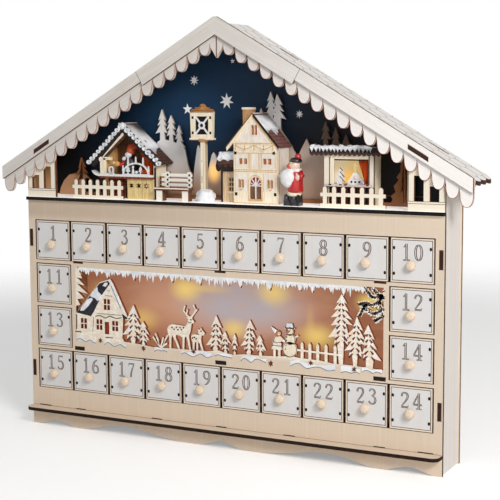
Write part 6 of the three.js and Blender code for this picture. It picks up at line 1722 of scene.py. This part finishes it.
# The Santa figure is turned and carved from wood and enamelled: a red coat, a white beard
# and sack, a black cap with a red bobble, and black boots.
SANTA_Y = 7
santa = Work("santa_model", STAGE)
for x in (61.8, 68.6):
    boot = [(x - 3.4, 0), (x + 3.3, 0), (x + 3.2, 3), (x + 2.8, 8.4), (x - 2.6, 8.4), (x - 2.9, 4)]
    santa.plate([boot], 2.8, 7.6, black, ease=0.8)
hem = [(0, 8), (5.2, 8), (5.9, 9), (5.9, 11.4), (0, 11.8)]
santa.turned(hem, (66, SANTA_Y, 0), cream)
coat_turned = [(0, 11), (6.2, 11), (6.6, 13), (6.2, 16), (6.2, 22), (5.4, 27), (3.6, 30), (0, 30.6)]
santa.turned(coat_turned, (67, SANTA_Y, 0), red)
for place, radius in (((61.6, 3, 23.2), 7), ((62.4, 2.4, 20), 5), ((63.6, 2.8, 26.6), 4.4)):
    santa.ball(place, radius, white, 0.14, (1, 0.7, 1))
fur_collar = [(0, 27.6), (4.9, 27.8), (5.2, 29), (4.4, 30.4), (0, 30.6)]
santa.turned(fur_collar, (67.6, SANTA_Y, 0), white)
santa.ball((66.4, 6, 33), 4.7, skin, 0, (1.08, 1, 0.95))
santa.ball((62.6, 2.6, 32.6), 1.6, brick)
santa.ball((63.8, 2.2, 30.8), 1.5, rosy, 0, (1.2, 0.6, 0.8))
for x in (63.6, 67):
    santa.ball((x, 1.9, 34.6), 0.45, black)
santa_cap = [(0, 35.6), (4.9, 35.4), (5.3, 36.4), (4.9, 37.6), (3.6, 39), (0, 39.6)]
santa.turned(santa_cap, (67.4, SANTA_Y, 0), black)
santa.ball((69.4, 7, 40.2), 2.6, red, 0.15)
santa.rod([(61, 6, 27), (57.4, 6, 25.6), (55.4, 5.6, 24.6)], [2.2, 2.0, 1.8], red)
santa.ball((54.6, 5.4, 24.2), 1.9, skin, 0.1)
santa.rod([(71.4, 6.4, 28), (73.6, 5.4, 24.6), (72.6, 3.4, 22)], [2.3, 2.4, 2.0], red)
santa.ball((71, 2.4, 23.4), 2.1, skin, 0.1, (0.9, 0.8, 1.2))
santa.done("case", "painted_figure", "santa_figure")


# The battery box hangs below the drawer floor, in black moulded plastic with a sliding lid.
# The lamps sit on a thin coated wire that runs up behind the drawers.
def moulded(name, shade):
    made = Finish(name, roughness=0.5)
    grain = made.speckle(made.place(), (0.6, 0.6, 0.6), 3.0)
    made.set("Base Color", made.mix(grain, tuple(0.8 * part for part in shade), shade))
    made.raise_by(0.03 * grain)
    return made


coat(moulded("black_plastic", paint(26, 26, 28)), "battery_box", "battery_lid")
coat(moulded("white_plastic", paint(232, 230, 224)), "power_switch")
lamp_glow = Finish("lamp_glow", roughness=0.4)
wire_place = lamp_glow.place()
wire_sheen = lamp_glow.speckle(wire_place, (3, 3, 3))
LAMP_HEIGHT = STAGE_Z + 8
LAMP_REACH = 1.5
STAGE_LAMPS = (100, 60, -24, -60, -130)
shining = (STAGE_Z - 4 - wire_place[2]).between(0, 1) * (wire_place[1] < 12.0)
for x in STAGE_LAMPS:
    near = lamp_glow.blot(wire_place, (x, LAMP_HEIGHT), (LAMP_REACH, LAMP_REACH), 1.0, 1.2)
    shining = shining.most(near)
wire_shade = lamp_glow.mix(wire_sheen, paint(70, 46, 30), paint(104, 72, 48))
lamp_glow.set("Base Color", lamp_glow.mix(shining, wire_shade, paint(240, 205, 140)))
lamp_glow.shine(lamp_glow.mix(shining, (0, 0, 0), paint(255, 206, 120)), 1.0)
coat(lamp_glow, "light_string")
